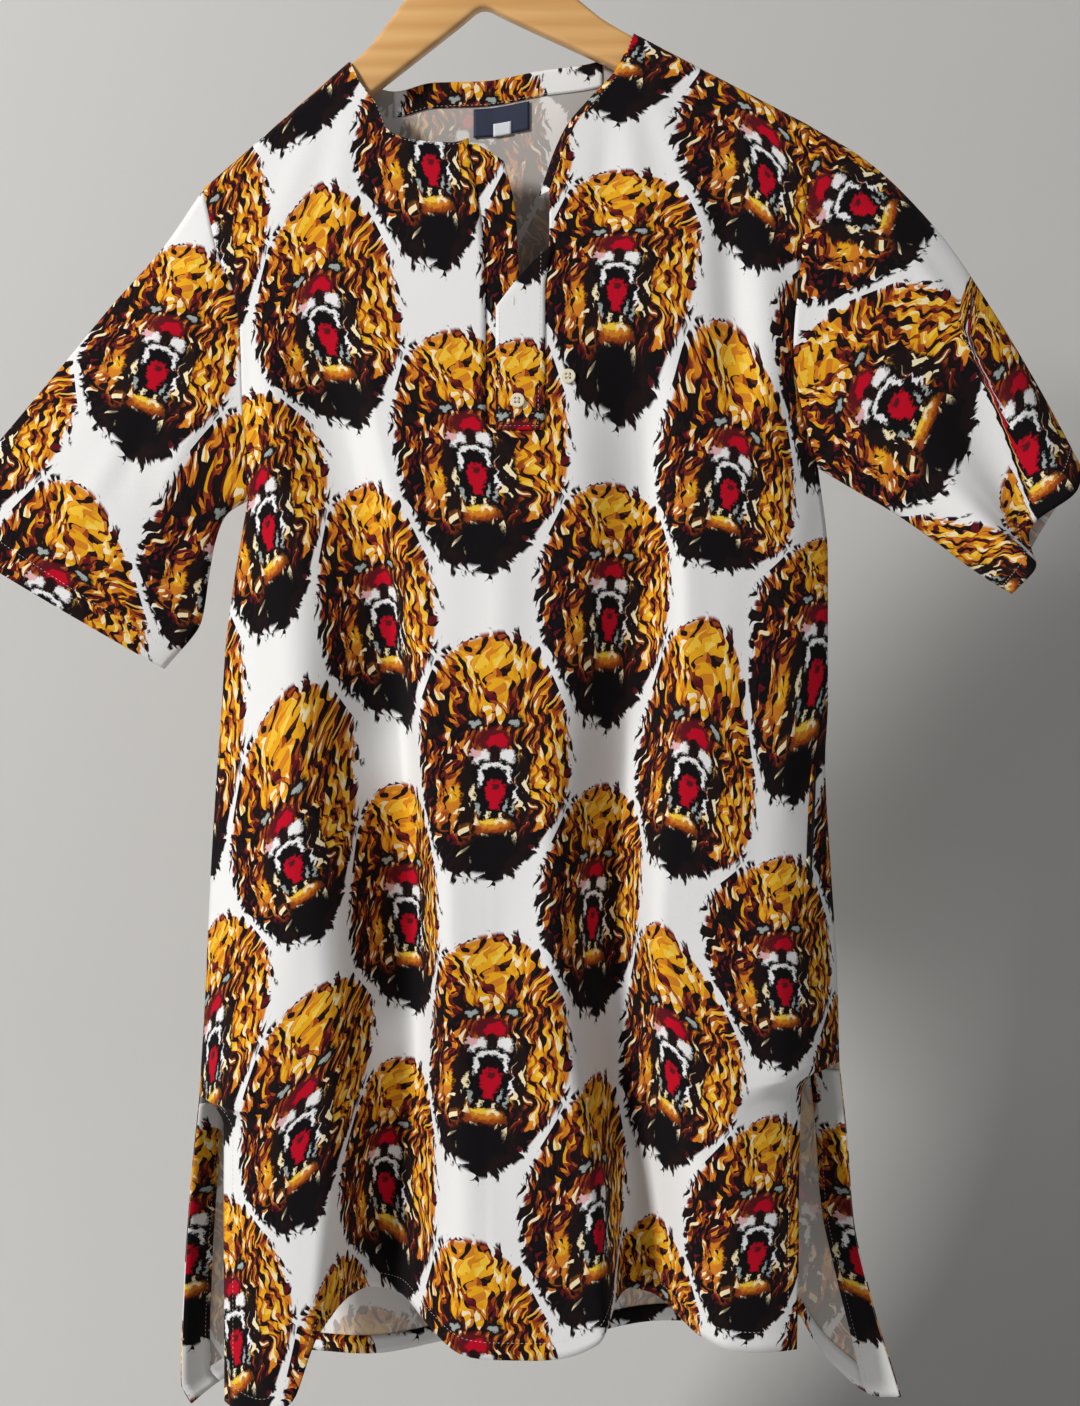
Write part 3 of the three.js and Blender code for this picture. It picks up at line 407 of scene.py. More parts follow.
FACE_MARKS = [
    ("soot", -13, 31, 7.5, 4.8, 14, 0.5), ("soot", 14, 31, 7.5, 4.8, -14, 0.5),
    ("steel", -12.5, 30.6, 3.4, 2.0, 12, 0.5), ("steel", 13.5, 30.6, 3.4, 2.0, -12, 0.5),
    ("maroon", 0, 19.5, 12, 8, 0, 0.3), ("red", 2.2, 18.8, 6.6, 4.8, 0, 0.35), ("soot", 0, 11.5, 2.6, 4.5, 0, 0.5),
    ("white", -8.5, 8, 6.0, 4.8, 28, 0.4), ("white", 9, 8.5, 5.8, 4.6, -28, 0.4),
    ("blush", -12.5, 10.5, 3.4, 2.8, 20, 0.6),
    ("black", 0.5, -3, 15.5, 10.5, 0, 0.2), ("white", 0.5, -2, 10.4, 7.0, 0, 0.22),
    ("black", 0.5, -5.4, 8.8, 7.4, 0, 0.22),
    ("black", 0.5, -19, 13.5, 18, 0, 0.25),
    ("white", -8.8, -6, 1.7, 5.4, -6, 0.4), ("white", 9.8, -6, 1.7, 5.4, 6, 0.4),
    ("red", 0.8, -15.5, 6.8, 8, 0, 0.25), ("red", 0.5, -22.5, 4.2, 7.5, 0, 0.3), ("maroon", 1, -12, 3.4, 3, 0, 0.6),
    ("cream", -13.6, -17, 1.5, 6, 4, 0.5), ("white", 14.2, -19, 1.2, 6.5, -3, 0.5),
    ("steel", 12.0, -30, 1.1, 4.5, -10, 0.5),
    ("steel", -9.2, -28, 1.1, 4.5, 8, 0.5), ("steel", 8.2, -26, 0.9, 4, -6, 0.5),
    ("cream", -3.6, -33, 1.2, 2.8, 0, 0.5), ("cream", 4.4, -33.4, 1.2, 2.6, 0, 0.5),
    ("rust", 1, -44, 11, 3.6, 0, 0.6), ("orange", 1, -40.0, 10, 3.8, 0, 0.5), ("yellow", -2, -38.4, 6.5, 2.4, 4, 0.6),
    ("cream", 5.0, -38.0, 3.4, 1.6, -8, 0.6), ("black", 1, -59, 16, 12, 0, 0.4), ("black", -1, -71, 9, 12, 0, 0.4),
]

head_group, head_in, head_out = new_group(
    "lion_head_print", [("Cloth", "Vector", None)], [("Colour", "Color", None), ("Inked", "Float", None)]
)
tree = head_group
split = add_node(tree, "SeparateXYZ", {0: head_in.outputs["Cloth"]})
cloth_u = Ink(tree, split.outputs["X"]) * 1000.0
cloth_v = Ink(tree, split.outputs["Y"]) * 1000.0


def wrapped(value, repeat, offset):
    """Distance from the nearest of the places offset + n x repeat."""
    return value.node("ADD", repeat / 2 - offset).node("FLOORED_MODULO", repeat) - repeat / 2


# Two square lattices make the half drop; each point belongs to the head whose oval is nearer.
near = [
    (wrapped(cloth_u, REPEAT_ACROSS, half_step * REPEAT_ACROSS / 2),
     wrapped(cloth_v, REPEAT_DOWN, half_step * REPEAT_DOWN / 2))
    for half_step in (0, 1)
]
oval = [(p / HEAD_WIDE).node("POWER", 2.0) + (q / HEAD_TALL).node("POWER", 2.0) for p, q in near]
other = oval[0].node("GREATER_THAN", oval[1])
local_p = near[0][0] + (near[1][0] - near[0][0]) * other
local_q = near[0][1] + (near[1][1] - near[0][1]) * other

# Brush strokes fan out above the forehead and hang down the sides. Each is one cell of a pattern
# stretched along the stroke and takes one ink; a long and a short set of strokes are mixed.
fan = ((local_q - 26.0) * 0.013 + 1.0).node("MAXIMUM", (local_q - 26.0) * -0.005 + 1.0)
swirl = noise_at(tree, join(tree, local_p, local_q), 0.045, 2.0)
stroke_p = local_p / fan + (swirl - 0.5) * 16.0
stroke_q = local_q + (swirl - 0.5) * 9.0
long_stroke = stroke_at(tree, join(tree, stroke_p / 2.5, stroke_q / 9.0))
short_stroke = stroke_at(tree, join(tree, stroke_p / 1.8 + 40.0, stroke_q / 4.8))

# How light the mane is: golden on the crown and down the right cheek, dark at the left and under the jaw.
crown = local_q.rise(14.0, 58.0) * local_p.node("ABSOLUTE").rise(50.0, 14.0)
right_side = local_p.rise(14.0, 34.0) * local_q.rise(-70.0, -20.0) * local_q.rise(54.0, 20.0)
left_side = local_p.rise(-14.0, -34.0)
beard = local_q.rise(-34.0, -62.0)
light = crown * 0.175 + right_side * 0.13 - left_side * 0.07 - beard * 0.18 + 0.43
tone = light + (long_stroke - 0.5) * 0.70 + (short_stroke - 0.5) * 0.48

MANE_STOPS = [
    (0.0, "black"), (0.38, "black"), (0.41, "maroon"), (0.46, "maroon"), (0.49, "rust"), (0.545, "rust"),
    (0.575, "orange"), (0.63, "orange"), (0.66, "gold"), (0.77, "gold"), (0.82, "yellow"), (0.92, "cream"),
]
ramp = tree.nodes.new("ShaderNodeValToRGB")
stops = ramp.color_ramp.elements
stops[0].position, stops[0].color = 0.0, (*INKS["black"], 1)
stops[1].position, stops[1].color = 1.0, (*INKS["cream"], 1)
for position, ink in MANE_STOPS[1:]:
    stops.new(position).color = (*INKS[ink], 1)
wire(tree, ramp, {"Fac": tone.source})
colour = ramp.outputs["Color"]

# The marks wander a little, so that their edges look brushed and not drawn.
wander = noise_at(tree, join(tree, local_p, local_q), 0.20, 3.0, 0.7)
wander_other = noise_at(tree, join(tree, local_p + 91.0, local_q - 37.0), 0.20, 3.0, 0.7)
brushed = join(tree, local_p + (wander - 0.5) * 8.0, local_q + (wander_other - 0.5) * 8.0)


def laid_over(below, ink, mask):
    """The ink laid over what is below it, where the mask is 1."""
    inputs = {"Factor": mask, "A": below, "B": (*INKS[ink], 1)}
    return add_node(tree, "Mix", inputs, data_type="RGBA").outputs["Result"]


def marked(below, marks):
    """The listed marks laid one after the other."""
    for ink, across_mark, up, wide, tall, turn_mark, soft in marks:
        mark = add_node(tree, "Group", node_tree=mark_group)
        wire(tree, mark, {"Place": brushed, "Centre": (across_mark, up, 0), "Size": (wide, tall, 1),
                          "Turn": math.radians(-turn_mark), "Edge": soft})
        below = laid_over(below, ink, mark.outputs["Mask"])
    return below


colour = marked(colour, CHEEK_MARKS)
# Dark strokes break up the cheeks and the forehead, and light ones the dark parts.
mixed = long_stroke * 0.45 + short_stroke * 0.55
colour = laid_over(colour, "soot", mixed.rise(0.37, 0.34).source)
colour = laid_over(colour, "cream", mixed.rise(0.725, 0.75).source)
colour = marked(colour, FACE_MARKS)

# The head's outline: an egg, wider above, whose edge the strokes break into points.
narrow = local_q.rise(-10.0, -84.0) * 0.34 + 1.0
egg_p = local_p * narrow / HEAD_WIDE
egg = (egg_p * egg_p + (local_q / HEAD_TALL).node("POWER", 2.0)).node("SQRT")
ragged = egg + (long_stroke - 0.5) * 0.13 + (short_stroke - 0.5) * 0.10
inked = ragged.rise(1.0, 0.965)
GROUND = (0.78, 0.78, 0.78)
inputs = {"Factor": inked.source, "A": (*GROUND, 1), "B": colour}
paper = add_node(tree, "Mix", inputs, data_type="RGBA")
wire(tree, head_out, {"Colour": paper.outputs["Result"], "Inked": inked.source})

# Plain weave: two sets of fine threads, a little uneven, with soft handling creases.
weave_group, weave_in, weave_out = new_group(
    "plain_weave", [("Cloth", "Vector", None), ("Thread", "Float", 0.0005)], [("Height", "Float", None)]
)
tree, given = weave_group, weave_in.outputs
split = add_node(tree, "SeparateXYZ", {0: given["Cloth"]}).outputs
warp, weft = ((Ink(tree, split[axis]) / Ink(tree, given["Thread"]) * math.pi).node("SINE") for axis in "XY")
woven = warp * weft * 0.5 + noise_at(tree, given["Cloth"], 240.0, 2.0)
wire(tree, weave_out, {"Height": woven.source})


def weave_bump(tree, shader, strength, distance, thread=0.0005):
    """Gives a shader the plain weave's height, and returns the output that carries the UV map."""
    cloth = add_node(tree, "UVMap", uv_map="cloth").outputs["UV"]
    weave = wire(tree, add_node(tree, "Group", node_tree=weave_group), {"Cloth": cloth, "Thread": thread})
    bump = add_node(tree, "Bump", {"Height": weave.outputs["Height"], "Strength": strength, "Distance": distance})
    wire(tree, shader, {"Normal": bump.outputs["Normal"]})
    return cloth


def printed_cloth(name, washed=0.0):
    """The printed cloth as a material. washed goes from 0, the right side, towards 1, where the pale
    back of the cloth covers the ink."""
    material, tree, shader = new_material(name)
    cloth = weave_bump(tree, shader, 0.35, 0.00025)
    head = wire(tree, add_node(tree, "Group", node_tree=head_group), {"Cloth": cloth})
    wash = add_node(tree, "Mix", data_type="RGBA")
    wire(tree, wash, {"Factor": washed, "A": head.outputs["Colour"], "B": (0.74, 0.70, 0.66, 1)})
    wire(tree, shader, {"Base Color": wash.outputs["Result"], "Roughness": 0.9, "Specular IOR Level": 0.06,
                        "Sheen Weight": 0.02, "Sheen Roughness": 0.5})
    return material


right_side_cloth = printed_cloth("printed_cloth")
wrong_side_cloth = printed_cloth("printed_cloth_wrong_side", washed=0.56)
PRINTED = [right_side_cloth, wrong_side_cloth]

# Shoulders, armholes, side seams and slits: the lines where the shirt's pieces meet, as they hang,
# seen from the front in millimetres. Both panels and the sleeves are worked out between them. Left and
# right are the picture's, so that the left one is at the wearer's right.
def summed(steps, axis=0):
    """Running sums along an axis, from 0 at its start."""
    return np.concatenate([np.zeros_like(np.take(steps, [0], axis=axis)), np.cumsum(steps, axis=axis)], axis)


def line_of(columns, rows):
    """A table of points along a line, with f, the share of the way along its x and z."""
    rows = table(columns, rows)
    run = summed(np.hypot(np.diff(rows["x"]), np.diff(rows["z"])))
    return {**rows, "f": run / run[-1]}


def read(rows, by, column, at):
    """The value of one column where another is at: a cubic through the rows whose slope at each row is
    the harmonic mean of its two neighbours', so that it never swings past them."""
    x, y = rows[by], rows[column]
    chord = np.diff(y) / np.diff(x)
    before, after = chord[:-1], chord[1:]
    total = np.where(before + after == 0, 1, before + after)
    inner = np.where(before * after <= 0, 0, 2 * before * after / total)
    slope = np.concatenate([chord[:1], inner, chord[-1:]])
    at = np.asarray(at, float)
    k = np.clip(np.searchsorted(x, at, side="left") - 1, 0, len(x) - 2)
    width = x[k + 1] - x[k]
    t = np.clip((at - x[k]) / width, 0, 1)
    rise = t * t * (3 - 2 * t)
    bend = width * t * (1 - t) * ((1 - t) * slope[k] - t * slope[k + 1])
    return y[k] * (1 - rise) + y[k + 1] * rise + bend


def smooth(value, start, end):
    """0 at start, 1 at end, with no slope at either."""
    t = np.clip((np.asarray(value, float) - start) / (end - start), 0, 1)
    return t * t * (3 - 2 * t)


NECK_AT = {"left": 97.4, "right": 103.1}
TIP_AT = {"left": 209.5, "right": 217.5}
SIGN = {"left": -1, "right": 1}


def on_seam(side, across):
    """A point of a shoulder seam, from its distance across the level hanger."""
    down = (across - SHOULDER_START[0]) * math.tan(SHOULDER_SLOPE)
    return np.array(turned(SIGN[side] * across, SHOULDER_START[1] - down))


NECK = {side: on_seam(side, across) for side, across in NECK_AT.items()}
TIP = {side: on_seam(side, across) for side, across in TIP_AT.items()}

ARMHOLE = {
    "left": line_of("x z", [
        TIP["left"], [-171, -291], [-159, -321], [-155, -354], [-154, -394], [-151, -433], [-152, -461],
    ]),
    "right": line_of("x z", [
        TIP["right"], [238, -267], [234, -306], [230, -356], [237, -402], [249, -438],
    ]),
}
SIDE_SEAM = {
    "left": line_of("x z", [
        [-152, -461], [-164, -535], [-168, -570], [-170, -602], [-175, -673], [-179, -743], [-182, -813],
        [-186, -880],
    ]),
    "right": line_of("x z", [
        [249, -438], [256, -503], [256, -602], [254, -644], [258, -722], [262, -785], [264, -856],
    ]),
}
SLIT = {
    ("front", "left"): line_of("x z y", [
        [-186, -880, 0], [-174, -886, -8], [-166, -898, -16], [-164, -950, -28], [-162, -1020, -38],
        [-161, -1079, -42],
    ]),
    ("front", "right"): line_of("x z y", [
        [264, -856, 0], [247, -861, -9], [235, -872, -18], [231, -930, -32], [229, -990, -44], [227, -1041, -50],
    ]),
    ("back", "left"): line_of("x z y", [
        [-186, -880, 0], [-194, -945, 9], [-200, -1018, 15], [-203, -1090, 19], [-196, -1105, 20],
    ]),
    ("back", "right"): line_of("x z y", [
        [264, -856, 0], [271, -914, 7], [276, -972, 10], [289, -1024, 11], [302, -1067, 11], [310, -1097, 12],
    ]),
}
NECKLINE = {
    "left": line_of("x z", [
        NECK["left"], [-72, -171], [-61, -186], [-52, -206], [-32, -214], [-6, -216], [4, -213],
    ]),
    "right": line_of("x z", [
        NECK["right"], [109, -163], [94, -183], [80, -200], [72, -216], [60, -250],
    ]),
    "back": line_of("x z", [
        NECK["left"], [-66, -165], [-51, -169], [-23, -162], [14, -160], [56, -153], [90, -149], [110, -142],
        NECK["right"],
    ]),
}
PLACKET_EDGE = {
    "left": table("z x", [[213, 4], [313, 16], [412, 16]]),
    "right": table("z x", [[250, 60], [286, 60], [304, 56], [318, 54], [412, 54]]),
}
PLACKET_END = 412
HEM = {
    "front": table("x z", [[-161, -1079], [-135, -1085], [-112, -1071], [-96, -1030], [-80, -1017],
                           [-45, -1016], [-22, -1028], [6, -1042], [35, -1045], [67, -1043], [92, -1034],
                           [106, -1017], [131, -1017], [163, -1033], [195, -1039], [227, -1041]]),
    "back": table("x z", [[-196, -1105], [-175, -1094], [-120, -1080], [-40, -1074], [60, -1066],
                          [160, -1056], [215, -1049], [241, -1051], [256, -1075], [272, -1093],
                          [294, -1105], [310, -1097]]),
}
# The two deep folds of the front: the line of the deepest point, its half width each side, its depth.
RECESSES = [
    table("down x left right depth", [[500, -52, 58, 28, 0], [620, -44, 66, 26, 12], [740, -34, 70, 26, 30],
                                      [830, -36, 62, 33, 42], [926, -48, 48, 54, 54], [1085, -82, 26, 84, 72]]),
    table("down x left right depth", [[500, 114, 50, 26, 0], [620, 112, 54, 26, 11], [740, 106, 50, 28, 28],
                                      [830, 110, 44, 38, 40], [926, 115, 30, 52, 53], [1085, 117, 17, 72, 70]]),
    # Higher up the same folds lean: long on the picture's left and steep on its right.
    table("down x left right depth", [[330, -100, 44, 28, 0], [440, -78, 56, 26, 17], [540, -54, 74, 23, 30],
                                      [620, -48, 76, 23, 32], [740, -40, 62, 23, 24], [830, -42, 48, 28, 10],
                                      [926, -60, 20, 40, 0]]),
    table("down x left right depth", [[330, 116, 42, 28, 0], [440, 126, 54, 26, 16], [540, 130, 64, 24, 26],
                                      [620, 128, 66, 24, 28], [740, 114, 54, 25, 20], [830, 108, 38, 28, 8],
                                      [926, 100, 18, 40, 0]]),
]
BODY = table("down front back round", [[150, 26, 22, 110], [450, 28, 26, 110], [600, 32, 28, 100],
                                       [830, 48, 36, 70], [1085, 66, 50, 46]])
BACK_WAVE = table("down height", [[560, 0], [830, 4], [1085, 10]])
BACK_WAVE_LONG = 132
ARMHOLE_OPEN = 16
SHOULDER_ROUND = 10
SHOULDER_LEAN = 0.2
SIDE_ROUND_POWER = 2.4
SLIT_CURL = 3
TOP_FADE = 300

# Rows down a panel are counted as travel: 0 to 1 down the armhole, to 2 down the side seam, to 3 down
# the slit's edge. The first few lie close together, round the roll over the hanger's arm.
PLACKET_TRAVEL = 0.9
ROW_TRAVEL = np.concatenate([
    [0, 0.006, 0.023, 0.046], np.linspace(0.046, PLACKET_TRAVEL, 9)[1:], [1.0], 1 + np.arange(1, 14) / 13,
    [2.07, 2.16, 2.32, 2.5, 2.68, 2.85, 3.0],
])
PLACKET_ROW, ARMPIT_ROW, SLIT_ROW = 11, 12, 25
LAST_ROW = len(ROW_TRAVEL) - 1
HEM_FADE = table("row share", [[SLIT_ROW - 4, 0], [SLIT_ROW + 2, 0.3], [LAST_ROW, 1]])


def travel_at(row):
    """The travel of a row, between whole rows in a straight line."""
    return np.interp(row, np.arange(len(ROW_TRAVEL)), ROW_TRAVEL)


def outer_edge(panel, side, travel):
    """x, z and depth of a panel's outer edge: down the armhole, the side seam and the slit."""
    travel = np.asarray(travel, float)
    parts = (ARMHOLE[side], SIDE_SEAM[side], SLIT[panel, side])
    shares = [np.clip(travel - k, 0, 1) for k in range(3)]
    above = [travel <= 1, travel <= 2]
    x, z = (
        np.select(above, [read(parts[k], "f", name, shares[k]) for k in (0, 1)], read(parts[2], "f", name, shares[2]))
        for name in "xz"
    )
    open_at_armhole = ARMHOLE_OPEN * np.sqrt(1 - shares[0] ** 3)
    return x, z, np.select(above, [open_at_armhole, 0 * travel], np.abs(read(parts[2], "f", "y", shares[2])))


def below_seam(side, x, z):
    """How far a point lies below a shoulder's seam line, square to it."""
    run = TIP[side] - NECK[side]
    away = (x - NECK[side][0]) * run[1] - (z - NECK[side][1]) * run[0]
    return np.maximum(0, SIGN[side] * away / np.hypot(*run))


# Small creases listed for each panel: from, to, half width, how far it stands out (in when minus).
CREASES = {
    "front": table("x0 z0 x1 z1 wide out", [
        [112, -160, 128, -330, 9, 1.6], [126, -158, 176, -300, 10, 1.9], [140, -165, 214, -262, 9, 1.5],
        [100, -185, 92, -330, 8, -1.4], [-78, -168, -96, -330, 9, 1.3], [-92, -172, -140, -300, 10, 1.5],
        [-60, -205, -60, -330, 8, -1.0], [228, -372, 170, -432, 9, 1.8], [236, -400, 190, -480, 10, -1.6],
        [246, -440, 214, -560, 10, 1.6], [-148, -420, -112, -500, 9, 1.5], [-152, -455, -128, -590, 10, -1.4],
        [30, -425, 26, -640, 14, 2.2], [70, -420, 82, -560, 12, -1.4], [-20, -400, -28, -600, 12, -1.6],
        [150, -420, 158, -700, 15, 2.4], [196, -470, 200, -800, 13, -2.2], [-112, -520, -116, -820, 13, 2.4],
        [-140, -600, -146, -860, 9, -1.6], [30, -680, 24, -980, 13, -2.0], [56, -600, 62, -1010, 10, 1.8],
        [-8, -640, -6, -1000, 10, 1.6], [176, -760, 186, -1020, 12, 2.6], [214, -700, 220, -900, 8, 1.5],
        [-132, -900, -140, -1060, 10, 2.0], [228, -600, 222, -700, 7, 1.1],
        [182, -230, 194, -430, 13, -7.0], [-136, -300, -128, -520, 14, 4.0], [205, -250, 222, -520, 15, 4.0],
    ]),
    "back": table("x0 z0 x1 z1 wide out", [
        [-90, -165, -120, -340, 10, 1.5], [120, -150, 168, -320, 10, 1.6], [20, -175, 18, -420, 14, -1.4],
        [-40, -180, -52, -400, 12, 1.2], [84, -170, 92, -430, 12, 1.3], [230, -380, 176, -470, 10, 1.8],
        [-150, -420, -104, -520, 10, 1.7], [60, -400, 66, -760, 16, 2.2], [-60, -430, -66, -820, 16, 2.4],
        [140, -470, 150, -860, 15, -2.2], [0, -560, -4, -940, 14, -2.0], [-124, -600, -130, -960, 13, 2.2],
        [212, -560, 224, -960, 12, 2.0], [104, -700, 110, -1020, 12, 2.2], [-24, -800, -28, -1050, 11, 1.8],
        [256, -900, 286, -1060, 9, 2.0], [-180, -900, -188, -1060, 8, 1.6],
    ]),
}


def creased(creases, x, z):
    """The sum of soft ridges and troughs: each a bell across its line that dies away at both ends."""
    total = np.zeros(np.broadcast(x, z).shape)
    for x0, z0, x1, z1, wide, out in np.stack(list(creases.values()), 1):
        run = np.array([x1 - x0, z1 - z0])
        long = np.hypot(*run)
        share = ((x - x0) * run[0] + (z - z0) * run[1]) / long**2
        aside = ((x - x0) * run[1] - (z - z0) * run[0]) / long
        ends = np.clip(1 - (2 * share - 1) ** 2, 0, 1)
        total = total + out * np.exp(-((aside / wide) ** 2)) * ends * np.sqrt(ends)
    return total


def bell(value, middle, wide):
    """A soft bump of height 1, nothing past its half width."""
    return 0.5 * (1 + np.cos(np.pi * np.minimum(1, np.abs(value - middle) / wide)))


def stand_off(panel, travel, x, z):
    """How far a panel stands off the hanger's plane: the roll over the shoulder, then the round from the
    side towards the middle, whichever is less, less the deep folds, plus the small creases."""
    lx, _, left_depth = outer_edge(panel, "left", travel)
    rx, _, right_depth = outer_edge(panel, "right", travel)
    near_left = x - lx < rx - x
    depth = np.where(near_left, left_depth, right_depth)
    inward = np.maximum(0, np.where(near_left, x - lx, rx - x))
    middle = read(BODY, "down", panel, -z)
    round_wide = read(BODY, "down", "round", -z)
    side = depth + (middle - depth) * (1 - (1 - np.minimum(1, inward / round_wide)) ** SIDE_ROUND_POWER)
    centre = (NECK["left"][0] + NECK["right"][0]) / 2
    drop = np.where(x < centre, below_seam("left", x, z), below_seam("right", x, z))
    rolled = np.sqrt(np.maximum(0, 2 * SHOULDER_ROUND * drop - drop**2))
    roll = np.where(drop < SHOULDER_ROUND, rolled, SHOULDER_ROUND + SHOULDER_LEAN * (drop - SHOULDER_ROUND))
    both = side * roll / np.cbrt(side**3 + roll**3 + 1e-12)
    calm = smooth(inward, 0, 12) * smooth(drop, 6, 26)
    both = both + creased(CREASES[panel], x, z) * calm
    if panel == "front":
        for fold in RECESSES:
            line, left, right, depth = (read(fold, "down", name, -z) for name in ("x", "left", "right", "depth"))
            both = both - depth * bell(x, line, np.where(x < line, left, right))
        return both
    wave = read(BACK_WAVE, "down", "height", -z) * np.minimum(1, inward / round_wide)
    return both + wave * np.cos(2 * np.pi * x / BACK_WAVE_LONG)


# Front panel: cut in one piece, with a rectangular hole for the placket and a slit each side. It is
# sewn to the back at the shoulders and sides, and hangs in three soft lobes with two deep folds between.
SHOULDER_CELLS = 10
NECK_CELLS = 9
NECK_CROWD = 1.6
PLACKET_CELLS = 4
FRONT_HALF = SHOULDER_CELLS + NECK_CELLS
FRONT_COLUMNS = 2 * FRONT_HALF + PLACKET_CELLS
FINE_ACROSS = 4
FINE_DOWN = 5
CLOTH_THICK = 0.9


def inner_edge(side, travel):
    """x and z of the placket hole's side, then straight on down to the hem."""
    path = PLACKET_EDGE[side]
    top, x_end = path["z"][0], path["x"][-1]
    beside = top + (PLACKET_END - top) * np.minimum(1, travel / PLACKET_TRAVEL)
    hem = read(HEM["front"], "x", "z", x_end)
    share = np.interp(travel, [PLACKET_TRAVEL, 1, 2, 3], [0, 0.045, 0.735, 1])
    x = np.where(travel <= PLACKET_TRAVEL, read(path, "z", "x", beside), x_end)
    z = np.where(travel <= PLACKET_TRAVEL, -beside, -PLACKET_END + (hem + PLACKET_END) * share)
    return x, z


def front_top(side, cell):
    """x and z of the top edge, counted in cells from the shoulder tip."""
    share = np.clip(cell / SHOULDER_CELLS, 0, 1)
    seam = TIP[side] + (NECK[side] - TIP[side]) * share[..., None]
    along = np.clip((cell - SHOULDER_CELLS) / NECK_CELLS, 0, 1) ** NECK_CROWD
    path = NECKLINE[side]
    on_seam_part = cell <= SHOULDER_CELLS
    return (np.where(on_seam_part, seam[..., 0], read(path, "f", "x", along)),
            np.where(on_seam_part, seam[..., 1], read(path, "f", "z", along)))


def front_flat(column, row):
    """The front seen from the front: rows between the outer and middle edges, shaped by the shoulder and
    neckline near the top and by the hem near the bottom."""
    travel = travel_at(row)
    out_x = np.zeros(np.broadcast(column, row).shape)
    out_z = out_x.copy()
    middle = {}
    for side in ("left", "right"):
        cell = column if side == "left" else FRONT_COLUMNS - column
        mine = np.broadcast_to(cell <= FRONT_HALF, out_x.shape)
        cell = np.clip(cell, 0, FRONT_HALF)
        ox, oz, _ = outer_edge("front", side, travel)
        ix, iz = inner_edge(side, travel)
        middle[side] = (ix, iz)
        top_x, top_z = front_top(side, cell)
        (ox0, oz0), (ix0, iz0) = TIP[side], inner_edge(side, 0.0)
        share = (top_x - ox0) / (ix0 - ox0)
        fade = 1 - smooth(oz0 - oz, 0, TOP_FADE)
        seam_x, _, _ = outer_edge("front", side, np.minimum(travel, 2.0))
        x = seam_x + (ix - seam_x) * share + (ox - seam_x) * (1 - share) ** SLIT_CURL
        z = oz + (iz - oz) * share + fade * (top_z - (oz0 + (iz0 - oz0) * share))
        _, outer_foot, _ = outer_edge("front", side, 3.0)
        _, inner_foot = inner_edge(side, 3.0)
        hem = read(HEM["front"], "x", "z", x) - (outer_foot + (inner_foot - outer_foot) * share)
        hem_share = np.where(row > SLIT_ROW - 4, read(HEM_FADE, "row", "share", row), 0)
        out_x = np.where(mine, x, out_x)
        out_z = np.where(mine, z + hem * hem_share, out_z)
    between = (column > FRONT_HALF) & (column < FRONT_HALF + PLACKET_CELLS)
    share = (column - FRONT_HALF) / PLACKET_CELLS
    mid_x = middle["left"][0] + (middle["right"][0] - middle["left"][0]) * share
    mid_z = middle["left"][1] + (middle["right"][1] - middle["left"][1]) * share
    return np.where(between, mid_x, out_x), np.where(between, mid_z, out_z)


def front_point(column, row):
    """x, y and z of the front's middle surface, in millimetres."""
    column, row = np.asarray(column, float), np.asarray(row, float)
    x, z = front_flat(column, row)
    return np.stack([x, -stand_off("front", travel_at(row), x, z), z], -1)


def panel_grid(columns):
    """Fine columns across and fine rows down a panel, as a row vector and a column vector."""
    across = np.arange(columns * FINE_ACROSS + 1) / FINE_ACROSS
    down = np.arange(LAST_ROW * FINE_DOWN + 1) / FINE_DOWN
    return across[None, :], down[:, None]


def flat_map(points, middle_column, level_row):
    """The cloth laid flat, in millimetres, with its grain upright: from a middle column the way across
    adds up the steps' lengths less their rise, and from a level row the way up adds up the steps'
    lengths less their shift across."""
    run = np.diff(points, axis=1)
    u = summed(np.hypot(run[..., 0], run[..., 1]) * np.sign(run[..., 0]), axis=1)
    u += (points[:, middle_column, 0] - u[:, middle_column])[:, None]
    fall = np.diff(points, axis=0)
    v = summed(np.hypot(fall[..., 2], fall[..., 1]) * np.sign(fall[..., 2]))
    v += (points[level_row, :, 2] - v[level_row])[None, :]
    return u, v


def cloth_piece(name, points, uv, faces=None, materials=PRINTED, thick=CLOTH_THICK):
    """A thin shell of cloth: the grid's surface with a wall to both sides, the second material inside."""
    if faces is None:
        faces = grid_faces(*points.shape[:2])
    piece = mesh_piece(name, points.reshape(-1, 3) * MM, faces, materials, uv.reshape(-1, 2))
    wall = piece.modifiers.new("wall", "SOLIDIFY")
    wall.thickness = thick * MM
    wall.offset = 0.0
    wall.use_even_offset = False
    wall.material_offset = 1
    wall.material_offset_rim = 0
    return piece


def where_on(point, x, z, column, row, last_column):
    """The column and row of a panel that lie at x and z, by Newton's steps from a first guess."""
    x, z = np.broadcast_arrays(np.asarray(x, float), np.asarray(z, float))
    column, row = np.full(x.shape, float(column)), np.full(x.shape, float(row))
    for _ in range(16):
        here = point(column, row)
        across = (point(column + 0.02, row) - here) / 0.02
        down = (point(column, row + 0.02) - here) / 0.02
        dx, dz = x - here[..., 0], z - here[..., 2]
        size = across[..., 0] * down[..., 2] - across[..., 2] * down[..., 0]
        column = np.clip(column + np.clip((dx * down[..., 2] - dz * down[..., 0]) / size, -2, 2), 0, last_column)
        row = np.clip(row + np.clip((dz * across[..., 0] - dx * across[..., 2]) / size, -2, 2), 0, LAST_ROW - 0.03)
    return column, row


